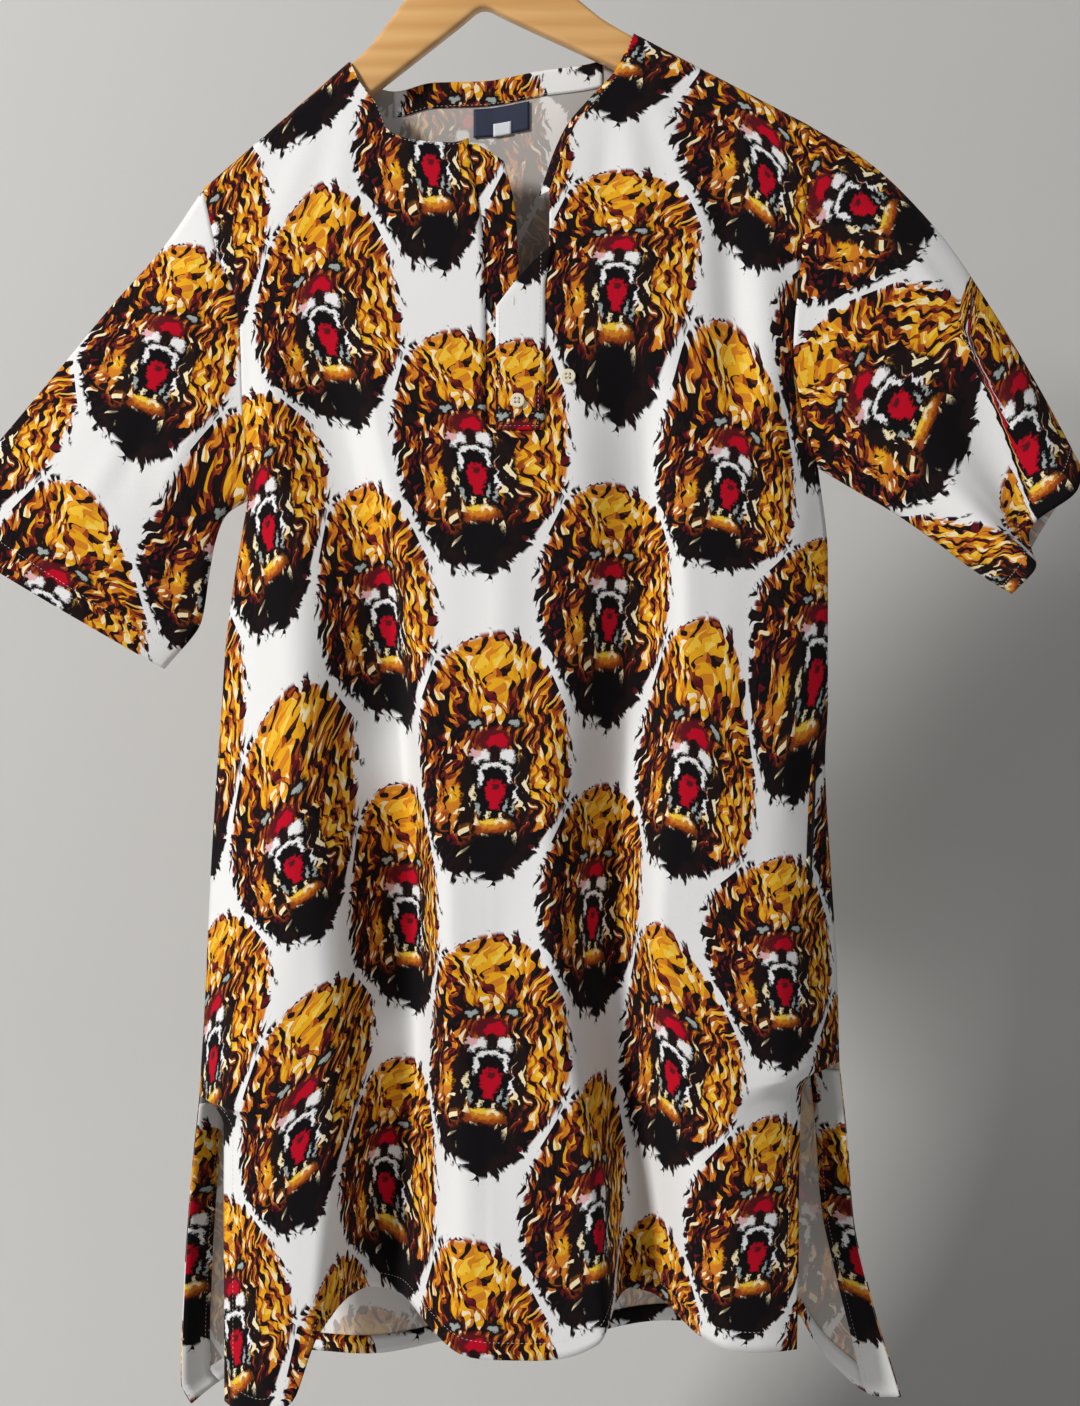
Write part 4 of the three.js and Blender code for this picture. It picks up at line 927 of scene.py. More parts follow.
def lifted(point, column, row, out):
    """Points of a panel moved towards the front, square to the panel."""
    column, row = np.broadcast_arrays(np.asarray(column, float), np.asarray(row, float))
    across = point(column + 0.05, row) - point(column - 0.05, row)
    down = point(column, np.minimum(row + 0.05, LAST_ROW)) - point(column, np.maximum(row - 0.05, 0))
    normal = np.cross(down, across)
    normal /= np.linalg.norm(normal, axis=-1)[..., None]
    return point(column, row) + normal * np.asarray(out)[..., None]


def on_front(x, z, column, row, out):
    """Points on the front at x and z, moved out, found from a first guess of column and row."""
    return lifted(front_point, *where_on(front_point, x, z, column, row, FRONT_COLUMNS), out)


def planar(points, head_at):
    """The print's place for a small flat piece: its own x and z from the nearest head's middle."""
    return np.stack([points[..., 0] - head_at[0], points[..., 2] - head_at[1]], -1) * MM


def join_grids(grids, uvs):
    """Several grids of points as one set of points, faces and print places."""
    points, faces, count = [], [], 0
    for grid in grids:
        points.append(grid.reshape(-1, 3))
        faces.append(grid_faces(*grid.shape[:2]) + count)
        count += points[-1].shape[0]
    return np.concatenate(points), np.concatenate([uv.reshape(-1, 2) for uv in uvs]), np.concatenate(faces)


def drift(places, x, z, reach):
    """How far the print has slipped at x and z, across and up: the slips at the given places, averaged
    with weights that die away on a bell curve."""
    weight_sum, across, up = 0.35, 0.0, 0.0
    for x_place, z_place, slip_across, slip_up in places:
        weight = np.exp(-((x - x_place) ** 2 + (z - z_place) ** 2) / (2 * reach**2))
        weight_sum, across, up = weight_sum + weight, across + weight * slip_across, up + weight * slip_up
    return across / weight_sum, up / weight_sum


# How far single heads hang from the even lattice: across and up.
FRONT_SLIPS = [
    [-60, -540, -18, -12], [-53, -743, -20, -20], [-129, -678, -50, -32], [23, -643, 3, -20],
    [167, -643, 15, -15], [88, -733, 8, -4], [16, -1014, -16, -16], [-53, -918, -34, 14],
    [-167, -814, -24, 0], [-167, -626, -26, 0], [108, -313, -3, 36], [242, -561, 26, 38],
    [-94, -327, -8, -6], [-30, -235, 14, 14], [80, -215, -30, 8], [207, -232, 12, 24],
    [157, -839, 18, -4], [26, -842, 2, -8], [-111, -880, -24, -20], [81, -945, -6, -16],
    [222, -784, 14, -12], [20, -431, 0, 0], [184, -437, 19, -14], [100, -540, 8, 3], [197, -973, 8, -12],
]
SLIP_REACH = 42
column, row = panel_grid(FRONT_COLUMNS)
front_points = front_point(column, row)
u, v = flat_map(front_points, (FRONT_HALF + PLACKET_CELLS // 2) * FINE_ACROSS, ARMPIT_ROW * FINE_DOWN)
# Where the print lies on the front: the two sides of the placket are spread a little towards the
# shoulders, and near both side seams the heads hang lower.
FRONT_HEAD_AT = (20, -431)
spread_left = np.interp(v, [-530, -430, -330, -230], [0, -13, -33, -52])
spread_right = np.interp(v, [-430, -312, -230], [0, 9, 24])
spread_out = spread_left + (spread_right - spread_left) * smooth(u, 20, 60)
lower_left = 0.7 * np.minimum(0, u + 100)
lower_right = np.interp(v, [-1050, -959, -783, -600, -430], [0, -14, -42, -63, -40]) * smooth(u, 185, 255)
slip_across, slip_up = drift(FRONT_SLIPS, front_points[..., 0], front_points[..., 2], SLIP_REACH)
print_u = u - FRONT_HEAD_AT[0] - spread_out - slip_across
print_v = v - FRONT_HEAD_AT[1] - lower_left - lower_right - slip_up
front_uv = np.stack([print_u, print_v], -1) * MM


def in_placket(j, i):
    """Whether the cell in row j and column i of the front's fine grid lies in the placket's hole."""
    cell = i // FINE_ACROSS - FRONT_HALF
    return (j < PLACKET_ROW * FINE_DOWN) & (cell >= 0) & (cell < PLACKET_CELLS)


front_faces = grid_faces(*front_points.shape[:2], hole=in_placket)
front = cloth_piece("shirt_front", front_points, front_uv, front_faces)
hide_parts("front_panel")
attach(front, "root")

# Back panel: the same cut as the front but with a high neckline and no placket. Below the slits it
# flares out past the front on both sides, so that its pale wrong side shows.
BACK_NECK_CELLS = 14
BACK_SHOULDER_CELLS = 8
BACK_COLUMNS = 2 * BACK_SHOULDER_CELLS + BACK_NECK_CELLS


def back_top(column):
    """x and z of the back's top edge: shoulder seam, neckline, shoulder seam."""
    from_right = BACK_COLUMNS - column
    left, right = (
        TIP[side] + (NECK[side] - TIP[side]) * np.clip(cells / BACK_SHOULDER_CELLS, 0, 1)[..., None]
        for side, cells in (("left", column), ("right", from_right))
    )
    share = 0.5 - 0.5 * np.cos(np.pi * np.clip((column - BACK_SHOULDER_CELLS) / BACK_NECK_CELLS, 0, 1))
    return tuple(
        np.select([column <= BACK_SHOULDER_CELLS, from_right <= BACK_SHOULDER_CELLS],
                  [left[..., k], right[..., k]], read(NECKLINE["back"], "f", "xz"[k], share))
        for k in range(2))


def back_point(column, row):
    """x, y and z of the back's middle surface, in millimetres."""
    column, row = np.asarray(column, float), np.asarray(row, float)
    travel = travel_at(row)
    ax, az, _ = outer_edge("back", "left", travel)
    bx, bz, _ = outer_edge("back", "right", travel)
    top_x, top_z = back_top(column)
    (ax0, az0), (bx0, bz0) = TIP["left"], TIP["right"]
    share = (top_x - ax0) / (bx0 - ax0)
    fade = 1 - smooth(az0 - az, 0, TOP_FADE)
    x = ax + (bx - ax) * share
    straight = az + (bz - az) * share + fade * (top_z - (az0 + (bz0 - az0) * share))
    level = SLIT["back", "left"]["z"][-1] * (1 - share) + SLIT["back", "right"]["z"][-1] * share
    hem_share = np.clip(travel - 2, 0, 1) ** 1.5
    z = straight + hem_share * (read(HEM["back"], "x", "z", x) - level)
    return np.stack([x, stand_off("back", travel, x, z), z], -1)


column, row = panel_grid(BACK_COLUMNS)
back_points = back_point(column, row)
u, v = flat_map(back_points, BACK_COLUMNS // 2 * FINE_ACROSS, ARMPIT_ROW * FINE_DOWN)
BACK_HEAD_AT = (7, -208)
lower_right = np.interp(v, [-1050, -700], [-78, 0]) * smooth(u, 150, 240)
back_uv = np.stack([BACK_HEAD_AT[0] - u, v - BACK_HEAD_AT[1] - lower_right], -1) * MM
back_faces = grid_faces(*back_points.shape[:2], turned_over=True)
back = cloth_piece("shirt_back", back_points, back_uv, back_faces)
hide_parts("back_panel")
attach(back, "root")

# Sleeves: each a short tube set into the armhole, folded flat along its top, with an underarm seam. The
# print runs along the sleeve. The one at the wearer's left has a valley down its front to the cuff.
SLEEVE = {
    "left": table("share topX topZ lowX lowZ open", [
        [0, *TIP["left"], -152, -461, 16], [0.2, -210, -282, -168, -472, 17], [0.4, -249, -326, -176, -493, 16],
        [0.6, -291, -377, -180, -516, 15], [0.8, -334, -428, -185, -546, 15], [1, -379, -480, -211, -580, 16]]),
    "right": table("share topX topZ lowX lowZ open", [
        [0, *TIP["right"], 249, -438, 16], [0.2, 286, -225, 272, -452, 18], [0.4, 335, -274, 303, -470, 19],
        [0.6, 367, -320, 332, -490, 20], [0.8, 405, -383, 360, -511, 22], [1, 436, -441, 386, -527, 24]]),
}
VALLEY = {"from": 0.35, "at": 0.5, "wide": 0.34, "depth": 22, "pull": 12}
BULGE = {"from": 0.4, "at": 0.84, "wide": 0.16, "depth": 12}
SLEEVE_RINGS = 64
FINE_AROUND = 5
SLEEVE_CREASES = {
    # along from, round from, along to, round to, half width in shares, out
    "left": [
        [0.0, 0.16, 0.55, 0.30, 0.045, 1.8], [0.0, 0.30, 0.70, 0.52, 0.05, -1.6], [0.05, 0.62, 0.6, 0.66, 0.05, 1.8],
        [0.0, 0.86, 0.4, 0.72, 0.04, 1.6], [0.35, 0.86, 0.95, 0.80, 0.04, -1.6], [0.5, 0.40, 1.0, 0.44, 0.05, 1.4],
    ],
    "right": [
        [0.0, 0.12, 0.6, 0.22, 0.045, 1.8], [0.0, 0.30, 0.5, 0.40, 0.05, -1.6], [0.0, 0.84, 0.45, 0.66, 0.04, 2.2],
        [0.1, 0.95, 0.6, 0.80, 0.04, -1.6], [0.45, 0.26, 1.0, 0.24, 0.05, 1.8], [0.1, 0.5, 0.4, 0.56, 0.05, 1.4],
    ],
}


def sleeve_half(side, panel, share, row):
    """The front or back half of a sleeve, from the armhole (share 0) to the cuff (share 1)."""
    sign = -1 if panel == "front" else 1
    travel = travel_at(row)
    edge_x, edge_z, _ = outer_edge(panel, side, travel)
    seam_y = sign * stand_off(panel, travel, edge_x, edge_z)
    path = SLEEVE[side]
    at = {name: read(path, "share", name, share) for name in ("topX", "topZ", "lowX", "lowZ", "open")}
    stray = (1 - share) ** 2
    first = {name: path[name][0] for name in path}
    x = at["topX"] + (at["lowX"] - at["topX"]) * travel
    x = x + stray * (edge_x - (first["topX"] + (first["lowX"] - first["topX"]) * travel))
    z = at["topZ"] + (at["lowZ"] - at["topZ"]) * travel
    z = z + stray * (edge_z - (first["topZ"] + (first["lowZ"] - first["topZ"]) * travel))
    tube = at["open"] * np.maximum(0, np.sin(np.pi * travel)) ** 0.75
    y = seam_y + (sign * tube - seam_y) * smooth(share, 0, 0.45)
    if side == "right" and panel == "front":
        valley = bell(travel, VALLEY["at"], VALLEY["wide"]) * smooth(share, VALLEY["from"], 1)
        y = y + VALLEY["depth"] * valley
        x = x - VALLEY["pull"] * valley
        z = z + 0.3 * VALLEY["pull"] * valley
        y = y - BULGE["depth"] * bell(travel, BULGE["at"], BULGE["wide"]) * smooth(share, BULGE["from"], 1)
    for a0, r0, a1, r1, wide, out in SLEEVE_CREASES[side]:
        reach = np.clip((share - a0) / (a1 - a0), 0, 1)
        line = r0 + (r1 - r0) * reach
        ends = np.clip(1 - (2 * reach - 1) ** 2, 0, 1)
        calm = smooth(travel, 0.03, 0.15) * smooth(travel, 0.97, 0.85)
        y = y + sign * out * ends * calm * np.exp(-(((travel - line) / wide) ** 2))
    return np.stack(np.broadcast_arrays(x, y, z), -1)


# Where the print lies on each sleeve: a head's middle as seen from the front, the grain's turn from the
# top fold, and how far the cloth is drawn out across and along the head. Past the fold at the cuff of the
# wearer's left sleeve the cloth is turned round, with a grain of its own.
SLEEVE_FOLD = {"left": (-207, -224), "right": (206, -243)}
SLEEVE_PRINT = {"left": (-208, -360, 26, 1.08, 0.93), "right": (290, -391, 28.7, 1.22, 0.84)}
CUFF_PRINT = (388, -411, -13.3, 1.0, 1.0)
CUFF_FOLD = table("share round", [[0.55, 0.22], [1, 0.45]])
SLEEVE_SLIPS = {
    "left": [[-208, -360, 0, 0], [-317, -423, -24, 36], [-294, -539, -38, 18], [-186, -520, -18, -50]],
    "right": [[274, -245, 25, 23], [290, -391, 0, 0], [345, -480, -12, -36], [345, -312, 30, 28]],
}


def head_turned(u, v, at, turn_head, wide, tall):
    """Print places with a head's middle at one grid point and the grain turned and drawn out."""
    c, n = math.cos(math.radians(turn_head)), math.sin(math.radians(turn_head))
    across, up = (u * c + v * n) / wide, (v * c - u * n) / tall
    return across - across[at], up - up[at]


def nearest(points, first, x, z):
    """The ring of a sleeve, and the place on it from first on, nearest to x and z."""
    gap = np.hypot(points[:, first:, 0] - x, points[:, first:, 2] - z)
    ring, place_on_ring = np.unravel_index(np.argmin(gap), gap.shape)
    return ring, place_on_ring + first


for side in ("left", "right"):
    share = np.linspace(0, 1, SLEEVE_RINGS)[:, None]
    down = (np.arange(ARMPIT_ROW * FINE_AROUND + 1) / FINE_AROUND)[None, :]
    back_half = sleeve_half(side, "back", share, down[:, ::-1])
    front_half = sleeve_half(side, "front", share, down[:, 1:])
    ring_points = np.concatenate([back_half, front_half], 1)
    # The flat sleeve, opened at the underarm: across is measured both ways from the top fold.
    fold = np.array(SLEEVE_FOLD[side], float)
    fold /= np.hypot(*fold)
    across = np.array([fold[1], -fold[0]]) * SIGN[side]
    top = back_half.shape[1] - 1
    p = ring_points[..., 0] * across[0] + ring_points[..., 2] * across[1]
    q = ring_points[..., 0] * fold[0] + ring_points[..., 2] * fold[1]
    step_y = [np.diff(ring_points[..., 1], axis=axis) for axis in (0, 1)]
    round_sleeve = summed(np.hypot(np.diff(p, axis=1), step_y[1]), axis=1)
    away = round_sleeve - round_sleeve[:, top][:, None]
    u = -SIGN[side] * (away + (p[:, top] - p[0, top])[:, None])
    v = q[0, top] - q[:1] - summed(np.hypot(np.diff(q, axis=0), step_y[0]))
    slip_across, slip_up = drift(SLEEVE_SLIPS[side], ring_points[..., 0], ring_points[..., 2], SLIP_REACH)
    u = u - (slip_across * -fold[1] + slip_up * fold[0])
    v = v - (slip_across * -fold[0] + slip_up * -fold[1])
    x_head, z_head, *how = SLEEVE_PRINT[side]
    print_u, print_v = head_turned(u, v, nearest(ring_points, top, x_head, z_head), *how)
    if side == "right":
        round_share = travel_at(np.abs(np.arange(ring_points.shape[1]) - top) / FINE_AROUND)[None, :]
        in_front = (np.arange(ring_points.shape[1]) > top)[None, :]
        fold_line = read(CUFF_FOLD, "share", "round", share)
        before_fold = np.where(in_front, smooth(round_share, fold_line + 0.03, fold_line - 0.01),
                               smooth(round_share, 0.9, 0.1))
        cuff_share = before_fold * smooth(share, 0.50, 0.60)
        x_head, z_head, *how = CUFF_PRINT
        cuff_u, cuff_v = head_turned(u, v, nearest(ring_points, top, x_head, z_head), *how)
        print_u = print_u + (cuff_u - print_u) * cuff_share
        print_v = print_v + (cuff_v - print_v) * cuff_share
    uv = np.stack([print_u, print_v], -1) * MM
    faces = grid_faces(*ring_points.shape[:2], turned_over=side == "right")
    sleeve = cloth_piece("shirt_sleeve_" + side, ring_points, uv, faces)
    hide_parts("sleeve_" + side)
    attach(sleeve, "root")

# Placket: two folded strips. The overlap is sewn along the right side of the hole and lies over it, with
# its top cut on a slant; the underlap is sewn behind the left side and tapers out of the neckline.
STRIP_THICK = 0.8
STRIP_OUT = CLOTH_THICK / 2 + STRIP_THICK / 2 + 0.25
OVERLAP_TOP = table("root down", [[0, 331], [1, 286]])
OVERLAP_END = 416
OVERLAP_FREE, OVERLAP_ROOT = 23, 57
UNDERLAP = table("down left right", [[217, 0, 25], [242, 2, 32], [268, 6, 37], [320, 12, 39], [417, 12, 39]])
PLACKET_MIDDLE = FRONT_HALF + PLACKET_CELLS / 2
OVERLAP_HEAD_AT = (40, -437)
UNDERLAP_HEAD_AT = (62, -300)

across, along = np.meshgrid(np.linspace(0, 1, 13), np.linspace(0, 1, 49))
down = read(OVERLAP_TOP, "root", "down", across)
down = down + (OVERLAP_END - down) * along
shift = read(PLACKET_EDGE["right"], "z", "x", down) - PLACKET_EDGE["right"]["x"][-1]
x = OVERLAP_FREE + (OVERLAP_ROOT + shift - OVERLAP_FREE) * across
# The strip is puffed a little between its two sewn edges; the puff fades out at its slanted top.
puff = 0.35 * np.sin(np.pi * across) ** 0.6 * smooth(along, 0, 0.05)
overlap_points = on_front(x, -down, PLACKET_MIDDLE, PLACKET_ROW - 3, STRIP_OUT + puff)
overlap = cloth_piece("placket_front_strip", overlap_points, planar(overlap_points, OVERLAP_HEAD_AT),
                      thick=STRIP_THICK)
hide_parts("placket_overlap")

across, along = np.meshgrid(np.linspace(0, 1, 11), np.linspace(0, 1, 61))
down = UNDERLAP["down"][0] + (UNDERLAP["down"][-1] - UNDERLAP["down"][0]) * along
left, right = read(UNDERLAP, "down", "left", down), read(UNDERLAP, "down", "right", down)
x = left + (right - left) * across
underlap_points = on_front(x, -down, PLACKET_MIDDLE, PLACKET_ROW - 4, -STRIP_OUT)
underlap = cloth_piece("placket_back_strip", underlap_points, planar(underlap_points, UNDERLAP_HEAD_AT),
                       thick=STRIP_THICK)
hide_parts("placket_underlap")
for strip, flat in ((overlap, (0.036, 0.132)), (underlap, (0.03, 0.202))):
    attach(strip, "root")

# Neck facings: printed strips turned to the inside and stitched down, one along the back of the neck
# and one along the right edge of the neckline, which shows as a narrow dark border.
FACING_FROM, FACING_TO, FACING_DEEP = -51, 98, 18
FACING_HEAD_AT = (5, -204)
BACK_MIDDLE = BACK_COLUMNS / 2
INSIDE = CLOTH_THICK / 2 + STRIP_THICK / 2 + 0.2


def inside_back(x_from, x_to, deep_from, deep_to, lift, cells):
    """A grid on the inside of the back, its depths measured down from the neckline."""
    x, deep = np.meshgrid(np.linspace(x_from, x_to, cells[0]), np.linspace(deep_from, deep_to, cells[1]))
    z = read(NECKLINE["back"], "x", "z", x) - deep
    column, row = where_on(back_point, x, z, BACK_MIDDLE, 2, BACK_COLUMNS)
    return lifted(back_point, column, row, lift)


facing_points = inside_back(FACING_FROM, FACING_TO, 0.5, FACING_DEEP, INSIDE, (61, 9))
facing_uv = planar(facing_points, FACING_HEAD_AT)
facing_uv[..., 1] -= 27 * MM * smooth(facing_points[..., 0], 45, 62)
facing = cloth_piece("neck_facing_strip", facing_points, facing_uv, thick=STRIP_THICK)
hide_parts("neck_facing_back")

EDGE_LEAN, EDGE_HEAD_AT, EDGE_START = 5.5, (104, -214), 2.2
cell, turn_in = np.meshgrid(np.linspace(EDGE_START, NECK_CELLS, 50), np.linspace(0, 1, 5), indexing="ij")
share = (cell - EDGE_START) / (NECK_CELLS - EDGE_START)
root = lifted(front_point, FRONT_COLUMNS - SHOULDER_CELLS - cell, np.zeros(cell.shape), -STRIP_OUT)
lean = EDGE_LEAN * smooth(share, 0, 0.5) + 1.5
edge_points = root + np.stack([-lean * turn_in, (1.8 + 9.2 * share) * turn_in, 0 * turn_in], -1)
edge_faces = grid_faces(*edge_points.shape[:2], turned_over=True)
edge_facing = cloth_piece("neck_edge_strip", edge_points, planar(edge_points, EDGE_HEAD_AT), edge_faces,
                          thick=STRIP_THICK)
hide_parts("neck_facing_front")
for strip in (facing, edge_facing):
    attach(strip, "root")

# Neck label: a navy woven tape, bare, stitched flat to the inside of the back under the facing, with a
# small white satin size tab, also bare, on its lower half.
def woven_material(name, colour, other, thread):
    """A woven tape: two shades of its colour in fine ribs, with the plain weave's height."""
    material = plain_material(name, colour, 0.6, other, grain=900.0)
    shader = material.node_tree.nodes["Principled BSDF"]
    weave_bump(material.node_tree, shader, 0.5, 0.0003, thread)
    wire(material.node_tree, shader, {"Sheen Weight": 0.04})
    return material


NAVY, NAVY_DARK = (0.012, 0.020, 0.060, 1), (0.006, 0.010, 0.034, 1)
SATIN, SATIN_SHADE = (0.80, 0.82, 0.84, 1), (0.66, 0.69, 0.74, 1)
label_cloth = woven_material("navy_label_cloth", NAVY, NAVY_DARK, 0.0006)
tab_cloth = woven_material("white_tab_cloth", SATIN, SATIN_SHADE, 0.0004)
label_points = inside_back(6, 46, 20, 40, INSIDE + STRIP_THICK + 0.1, (21, 11))
label = cloth_piece("neck_label_patch", label_points, planar(label_points, (0, 0)),
                    materials=[label_cloth, label_cloth], thick=0.5)
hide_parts("neck_label")
tab_points = inside_back(20, 33, 31.5, 40.5, INSIDE + STRIP_THICK + 0.75, (9, 7))
tab = cloth_piece("neck_size_tab", tab_points, planar(tab_points, (0, 0)),
                  materials=[tab_cloth, tab_cloth], thick=0.4)
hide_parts("size_tab")
for patch, flat, under in ((label, (0.041, 0.0205), "shirt_back"), (tab, (0.0135, 0.0100), "neck_label_patch")):
    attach(patch, "root")

# Hems of the back: below the slits the back's edges are turned to the inside, so that a strip of the
# right side of the print runs down both slits and along the hem.
HEM_STRIP_CELLS, HEM_STRIP_ROWS, HEM_THICK = 1.1, 0.5, 0.6
HEM_LIFT = CLOTH_THICK / 2 + 0.35 + 0.15
HEM_HEAD_AT = (BACK_HEAD_AT[0] + 34, BACK_HEAD_AT[1] - 60)
slit_row = np.linspace(SLIT_ROW + 0.4, LAST_ROW, 44)[:, None]
hem_row = np.linspace(LAST_ROW - HEM_STRIP_ROWS, LAST_ROW, 4)[:, None]
hem_grids = [lifted(back_point, column[None, :], row, HEM_LIFT) for column, row in (
    (np.linspace(0, HEM_STRIP_CELLS, 5), slit_row),
    (BACK_COLUMNS - np.linspace(HEM_STRIP_CELLS, 0, 5), slit_row),
    (np.linspace(HEM_STRIP_CELLS, BACK_COLUMNS - HEM_STRIP_CELLS, 140), hem_row),
)]
hem_uvs = [planar(grid, HEM_HEAD_AT) for grid in hem_grids]
back_hems = cloth_piece("back_turned_hems", *join_grids(hem_grids, hem_uvs), thick=HEM_THICK)
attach(back_hems, "root")

# Pocket: the mouth of an in-seam pocket at the wearer's left, a slit of painted shadow beside one soft lip.
POCKET_TOP, POCKET_FOOT = (246, -647), (240.5, -731)
SLIT_HALF_WIDE, LIP_HALF_WIDE, LIP_HIGH = 1.5, 1.4, 0.9
POCKET_NEAR = (FRONT_COLUMNS - 1.5, 20)
along = np.linspace(0, 1, 41)[:, None]
across = np.linspace(-1, 1, 9)[None, :]
middle_x = POCKET_TOP[0] + (POCKET_FOOT[0] - POCKET_TOP[0]) * along
z = POCKET_TOP[1] + (POCKET_FOOT[1] - POCKET_TOP[1]) * along + 0 * across
wide = SLIT_HALF_WIDE * np.sin(np.pi * along) ** 0.5
# Near-black painted shadow, laid on the cloth where the pocket's mouth and a buttonhole open.
slit_shadow_paint = plain_material("painted_slit_shadow", (0.012, 0.009, 0.009, 1), 0.9)
pocket_out = CLOTH_THICK / 2 + 0.18 - 0.10 * (1 - across**2) + 0 * along
lip_round = LIP_HIGH * np.sqrt(np.maximum(0, 1 - across**2)) * np.sin(np.pi * along) ** 0.35
lip_x = (middle_x - wide) - 1.0 + LIP_HALF_WIDE * across
for name, x, out, material, head_at in (
    ("pocket_mouth_painted_shadow", middle_x + across * wide, pocket_out, slit_shadow_paint, (0, 0)),
    ("pocket_lip", lip_x, CLOTH_THICK / 2 + 0.02 + lip_round, right_side_cloth, (300, -600)),
):
    points = on_front(x, z, *POCKET_NEAR, out)
    pocket = mesh_piece(name, points.reshape(-1, 3) * MM, grid_faces(*points.shape[:2]), material,
                        planar(points, head_at).reshape(-1, 2))
    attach(pocket, "root")

# Stitching: rows of lockstitch in white cotton, 2.3 mm stitches with small gaps, each a flat grain of
# thread lying on the cloth: round the necklines, placket, cuffs, hems and slits.
STITCH_LONG, STITCH_PITCH, STITCH_WIDE, STITCH_HIGH, STITCH_DEEP = 2.3, 3.1, 0.42, 0.24, 0.1


def stitch_row(path, normals):
    """Stitches along a path: each is an eight-sided grain set on evenly spaced places of the path."""
    run = summed(np.linalg.norm(np.diff(path, axis=0), axis=1))
    at = np.arange(STITCH_PITCH / 2, run[-1], STITCH_PITCH)

    def on_line(line, where):
        return np.stack([np.interp(where, run, line[:, k]) for k in range(3)], 1)

    middle, ahead, up = on_line(path, at), on_line(path, at + 0.5) - on_line(path, at - 0.5), on_line(normals, at)
    ahead /= np.linalg.norm(ahead, axis=1)[:, None]
    up /= np.linalg.norm(up, axis=1)[:, None]
    side = np.cross(up, ahead)
    corners = [-ahead * STITCH_LONG / 2, side * STITCH_WIDE / 2, ahead * STITCH_LONG / 2, -side * STITCH_WIDE / 2,
               up * STITCH_HIGH, -up * STITCH_DEEP]
    points = np.stack([middle + corner for corner in corners], 1).reshape(-1, 3)
    one = np.array([[0, 3, 4], [3, 2, 4], [2, 1, 4], [1, 0, 4], [3, 0, 5], [2, 3, 5], [1, 2, 5], [0, 1, 5]])
    return points, (one[None] + 6 * np.arange(len(at))[:, None, None]).reshape(-1, 3)


def on_panel(point, column, row, out):
    """A path on a panel and its normals; out is positive towards the front."""
    path = lifted(point, column, row, out)
    return path, path - lifted(point, column, row, 0.0)


ON_CLOTH = CLOTH_THICK / 2 + 0.03
slit_rows = np.linspace(SLIT_ROW + 0.6, LAST_ROW - 0.2, 60)
rows = [(front_point, side_column, slit_rows, ON_CLOTH) for side_column in (1.0, FRONT_COLUMNS - 1.0)]
for side_column in (HEM_STRIP_CELLS - 0.2, BACK_COLUMNS - HEM_STRIP_CELLS + 0.2):
    rows += [(back_point, side_column, slit_rows, out) for out in (HEM_LIFT + 0.33, -ON_CLOTH)]
rows += [(point, np.linspace(0.8, columns - 0.8, 260), LAST_ROW - 0.45, out) for point, columns, out in (
    (front_point, FRONT_COLUMNS, ON_CLOTH), (back_point, BACK_COLUMNS, -ON_CLOTH))]
# Necklines: 2 mm below the edge at the front, and along the lower edge of the facing at the back.
neck_cells = SHOULDER_CELLS + np.linspace(0.3, NECK_CELLS - 0.15, 70)
rows += [(front_point, cells, 0.9, ON_CLOTH) for cells in (neck_cells, FRONT_COLUMNS - neck_cells)]
x = np.linspace(-48, 95, 90)
z = read(NECKLINE["back"], "x", "z", x) - FACING_DEEP + 1.2
column, row = where_on(back_point, x, z, BACK_MIDDLE, 3, BACK_COLUMNS)
rows += [(back_point, column, row, out) for out in (INSIDE + STRIP_THICK / 2 + 0.03, -ON_CLOTH)]
# Placket: both long edges and the foot of the overlap, and the short seam in its middle.
over = STRIP_OUT + STRIP_THICK / 2 + 0.25
for x_line, z_from, z_to in (([25.3, 25.3], -334, -413), ([52, 54.2], -292, -413), ([38.3, 38.3], -342, -388)):
    z = np.linspace(z_from, z_to, 50)
    x = np.interp(z, [-413, -292], x_line)
    column, row = where_on(front_point, x, z, PLACKET_MIDDLE, PLACKET_ROW - 3, FRONT_COLUMNS)
    rows.append((front_point, column, row, over))
for z_foot in (-413.2, -404.5):
    x = np.linspace(25.3, 51.8, 20)
    column, row = where_on(front_point, x, z_foot, PLACKET_MIDDLE, PLACKET_ROW - 1, FRONT_COLUMNS)
    rows.append((front_point, column, row, over))
stitched = [on_panel(*one) for one in rows]
# Cuffs: one row 17 mm from the edge, all the way round.
for side in ("left", "right"):
    down = np.linspace(0.02, ARMPIT_ROW - 0.02, 90)
    for panel, sign in (("front", -1), ("back", 1)):
        near = sleeve_half(side, panel, 0.94, down)
        next_ring = sleeve_half(side, panel, 0.95, down)
        normal = np.cross(np.gradient(near, axis=0), next_ring - near)
        normal /= np.linalg.norm(normal, axis=1)[:, None]
        normal *= np.sign(np.sum(normal[:, 1] * sign))
        stitched.append((near + normal * ON_CLOTH, normal))
parts = [stitch_row(*line) for line in stitched]
starts = np.cumsum([0] + [len(points) for points, _ in parts[:-1]])
thread = plain_material("white_cotton_thread", (0.72, 0.70, 0.65, 1), 0.75)
stitching = mesh_piece("stitching", np.concatenate([points for points, _ in parts]) * MM,
                       np.concatenate([faces + start for (_, faces), start in zip(parts, starts)]), thread)
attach(stitching, "root")
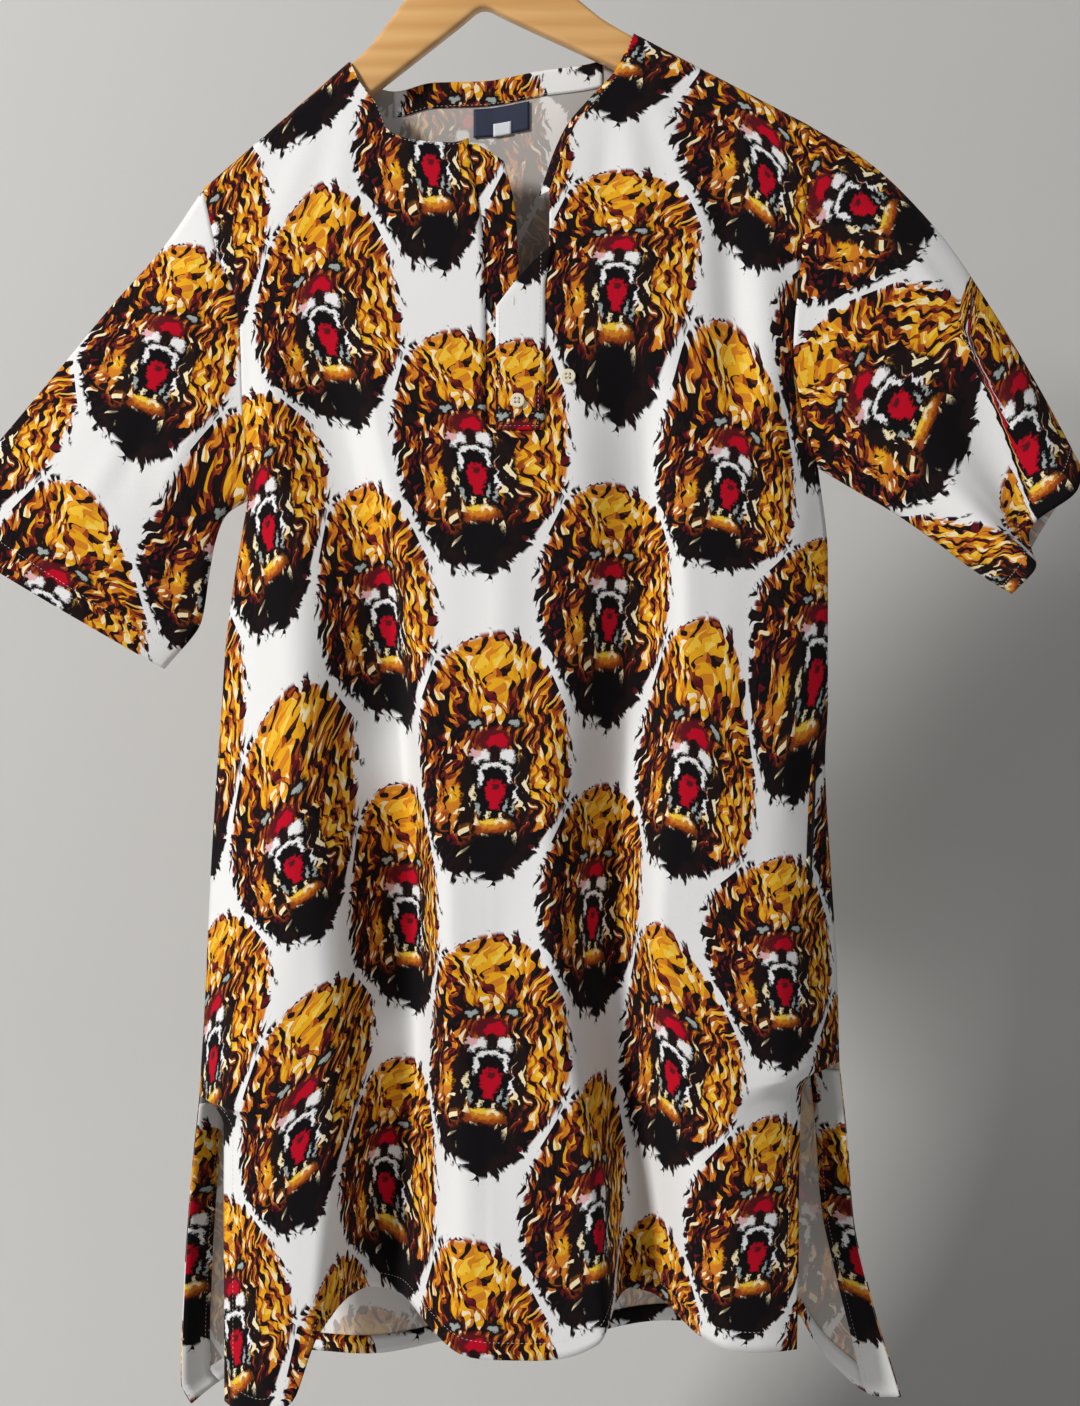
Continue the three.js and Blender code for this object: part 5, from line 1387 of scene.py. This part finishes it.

# Buttons: two cream resin discs with four holes, each sewn on by two crossed passes of thread. The
# lower is on the placket; the other is sewn to the front beside it. A buttonhole is worked in the left
# front's edge, shown as a slit of painted shadow, and one in the top of the overlap.
BUTTON_HALF, HOLE_APART, THREAD_ROUND, THREAD_ARCH, THREAD_SUNK = 1.02, 1.27, 0.28, 0.30, 0.12
resin = plain_material("cream_resin", (0.78, 0.70, 0.52, 1), 0.28)
for label_name, x_button, z_button in (("button_placket", 38, -396), ("button_front", 73, -379)):
    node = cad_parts[label_name]
    node.data.materials.clear()
    node.data.materials.append(resin)
    column, row = where_on(front_point, x_button, z_button, FRONT_HALF + 4.5, PLACKET_ROW - 2, FRONT_COLUMNS)
    middle = lifted(front_point, column, row, 0.0)
    out = lifted(front_point, column, row, 1.0) - middle
    box = [node.matrix_world @ Vector(corner) for corner in node.bound_box]
    seat = np.array(sum(box, Vector()) / 8) / MM
    side = np.cross(out, [0, 0, 1.0])
    side /= np.linalg.norm(side)
    up = np.cross(side, out)
    face = seat + out * BUTTON_HALF
    threads = []
    line = np.linspace(0, 1, 12)[:, None]
    spin = np.linspace(0, 2 * np.pi, 9)[None, :-1, None]
    for (a0, b0), (a1, b1) in (((-1, -1), (1, 1)), ((-1, 1), (1, -1))):
        path = face + side * HOLE_APART * (a0 + (a1 - a0) * line) + up * HOLE_APART * (b0 + (b1 - b0) * line)
        path = path + out * (THREAD_ARCH * np.sin(np.pi * line) ** 0.5 - THREAD_SUNK)
        run = path[-1] - path[0]
        run /= np.linalg.norm(run)
        across_run = np.cross(run, out)
        threads.append(path[:, None, :] + THREAD_ROUND * (across_run * np.cos(spin) + out * np.sin(spin)))
    points = np.concatenate([tube.reshape(-1, 3) for tube in threads])
    faces = np.concatenate([
        grid_faces(*tube.shape[:2], around=True) + number * len(points) // 2 for number, tube in enumerate(threads)
    ])
    cross = mesh_piece(label_name + "_thread", points * MM, faces, thread)
    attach(cross, "root")

HOLES = [
    # x, z, how long, how far off the cloth, and whether it is a slit of painted shadow or worked in thread
    (20.0, -328, 9.5, CLOTH_THICK / 2 + 0.05, True),
    (35.3, -327, 7.0, STRIP_OUT + STRIP_THICK / 2 + 0.30, False),
]
for number, (x_hole, z_hole, long, lift, dark) in enumerate(HOLES):
    z, aside = np.meshgrid(z_hole + long * np.linspace(-0.5, 0.5, 25), np.linspace(-1, 1, 9), indexing="ij")
    ends = np.sqrt(np.maximum(0, 1 - (2 * (z - z_hole) / long) ** 2))
    x = x_hole + aside * 0.95 * np.maximum(ends, 0.05)
    bead = 0.42 * np.sin(np.pi * np.clip(np.abs(aside), 0, 1)) * ends
    worked = on_front(x, z, PLACKET_MIDDLE - 1.5, PLACKET_ROW - 3, lift + bead)
    # The dark hole is a sheet of painted shadow; the other is worked in white thread.
    hole_piece = mesh_piece("buttonhole_%d" % number, worked.reshape(-1, 3) * MM,
                            grid_faces(*worked.shape[:2]), slit_shadow_paint if dark else thread)
    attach(hole_piece, "root")
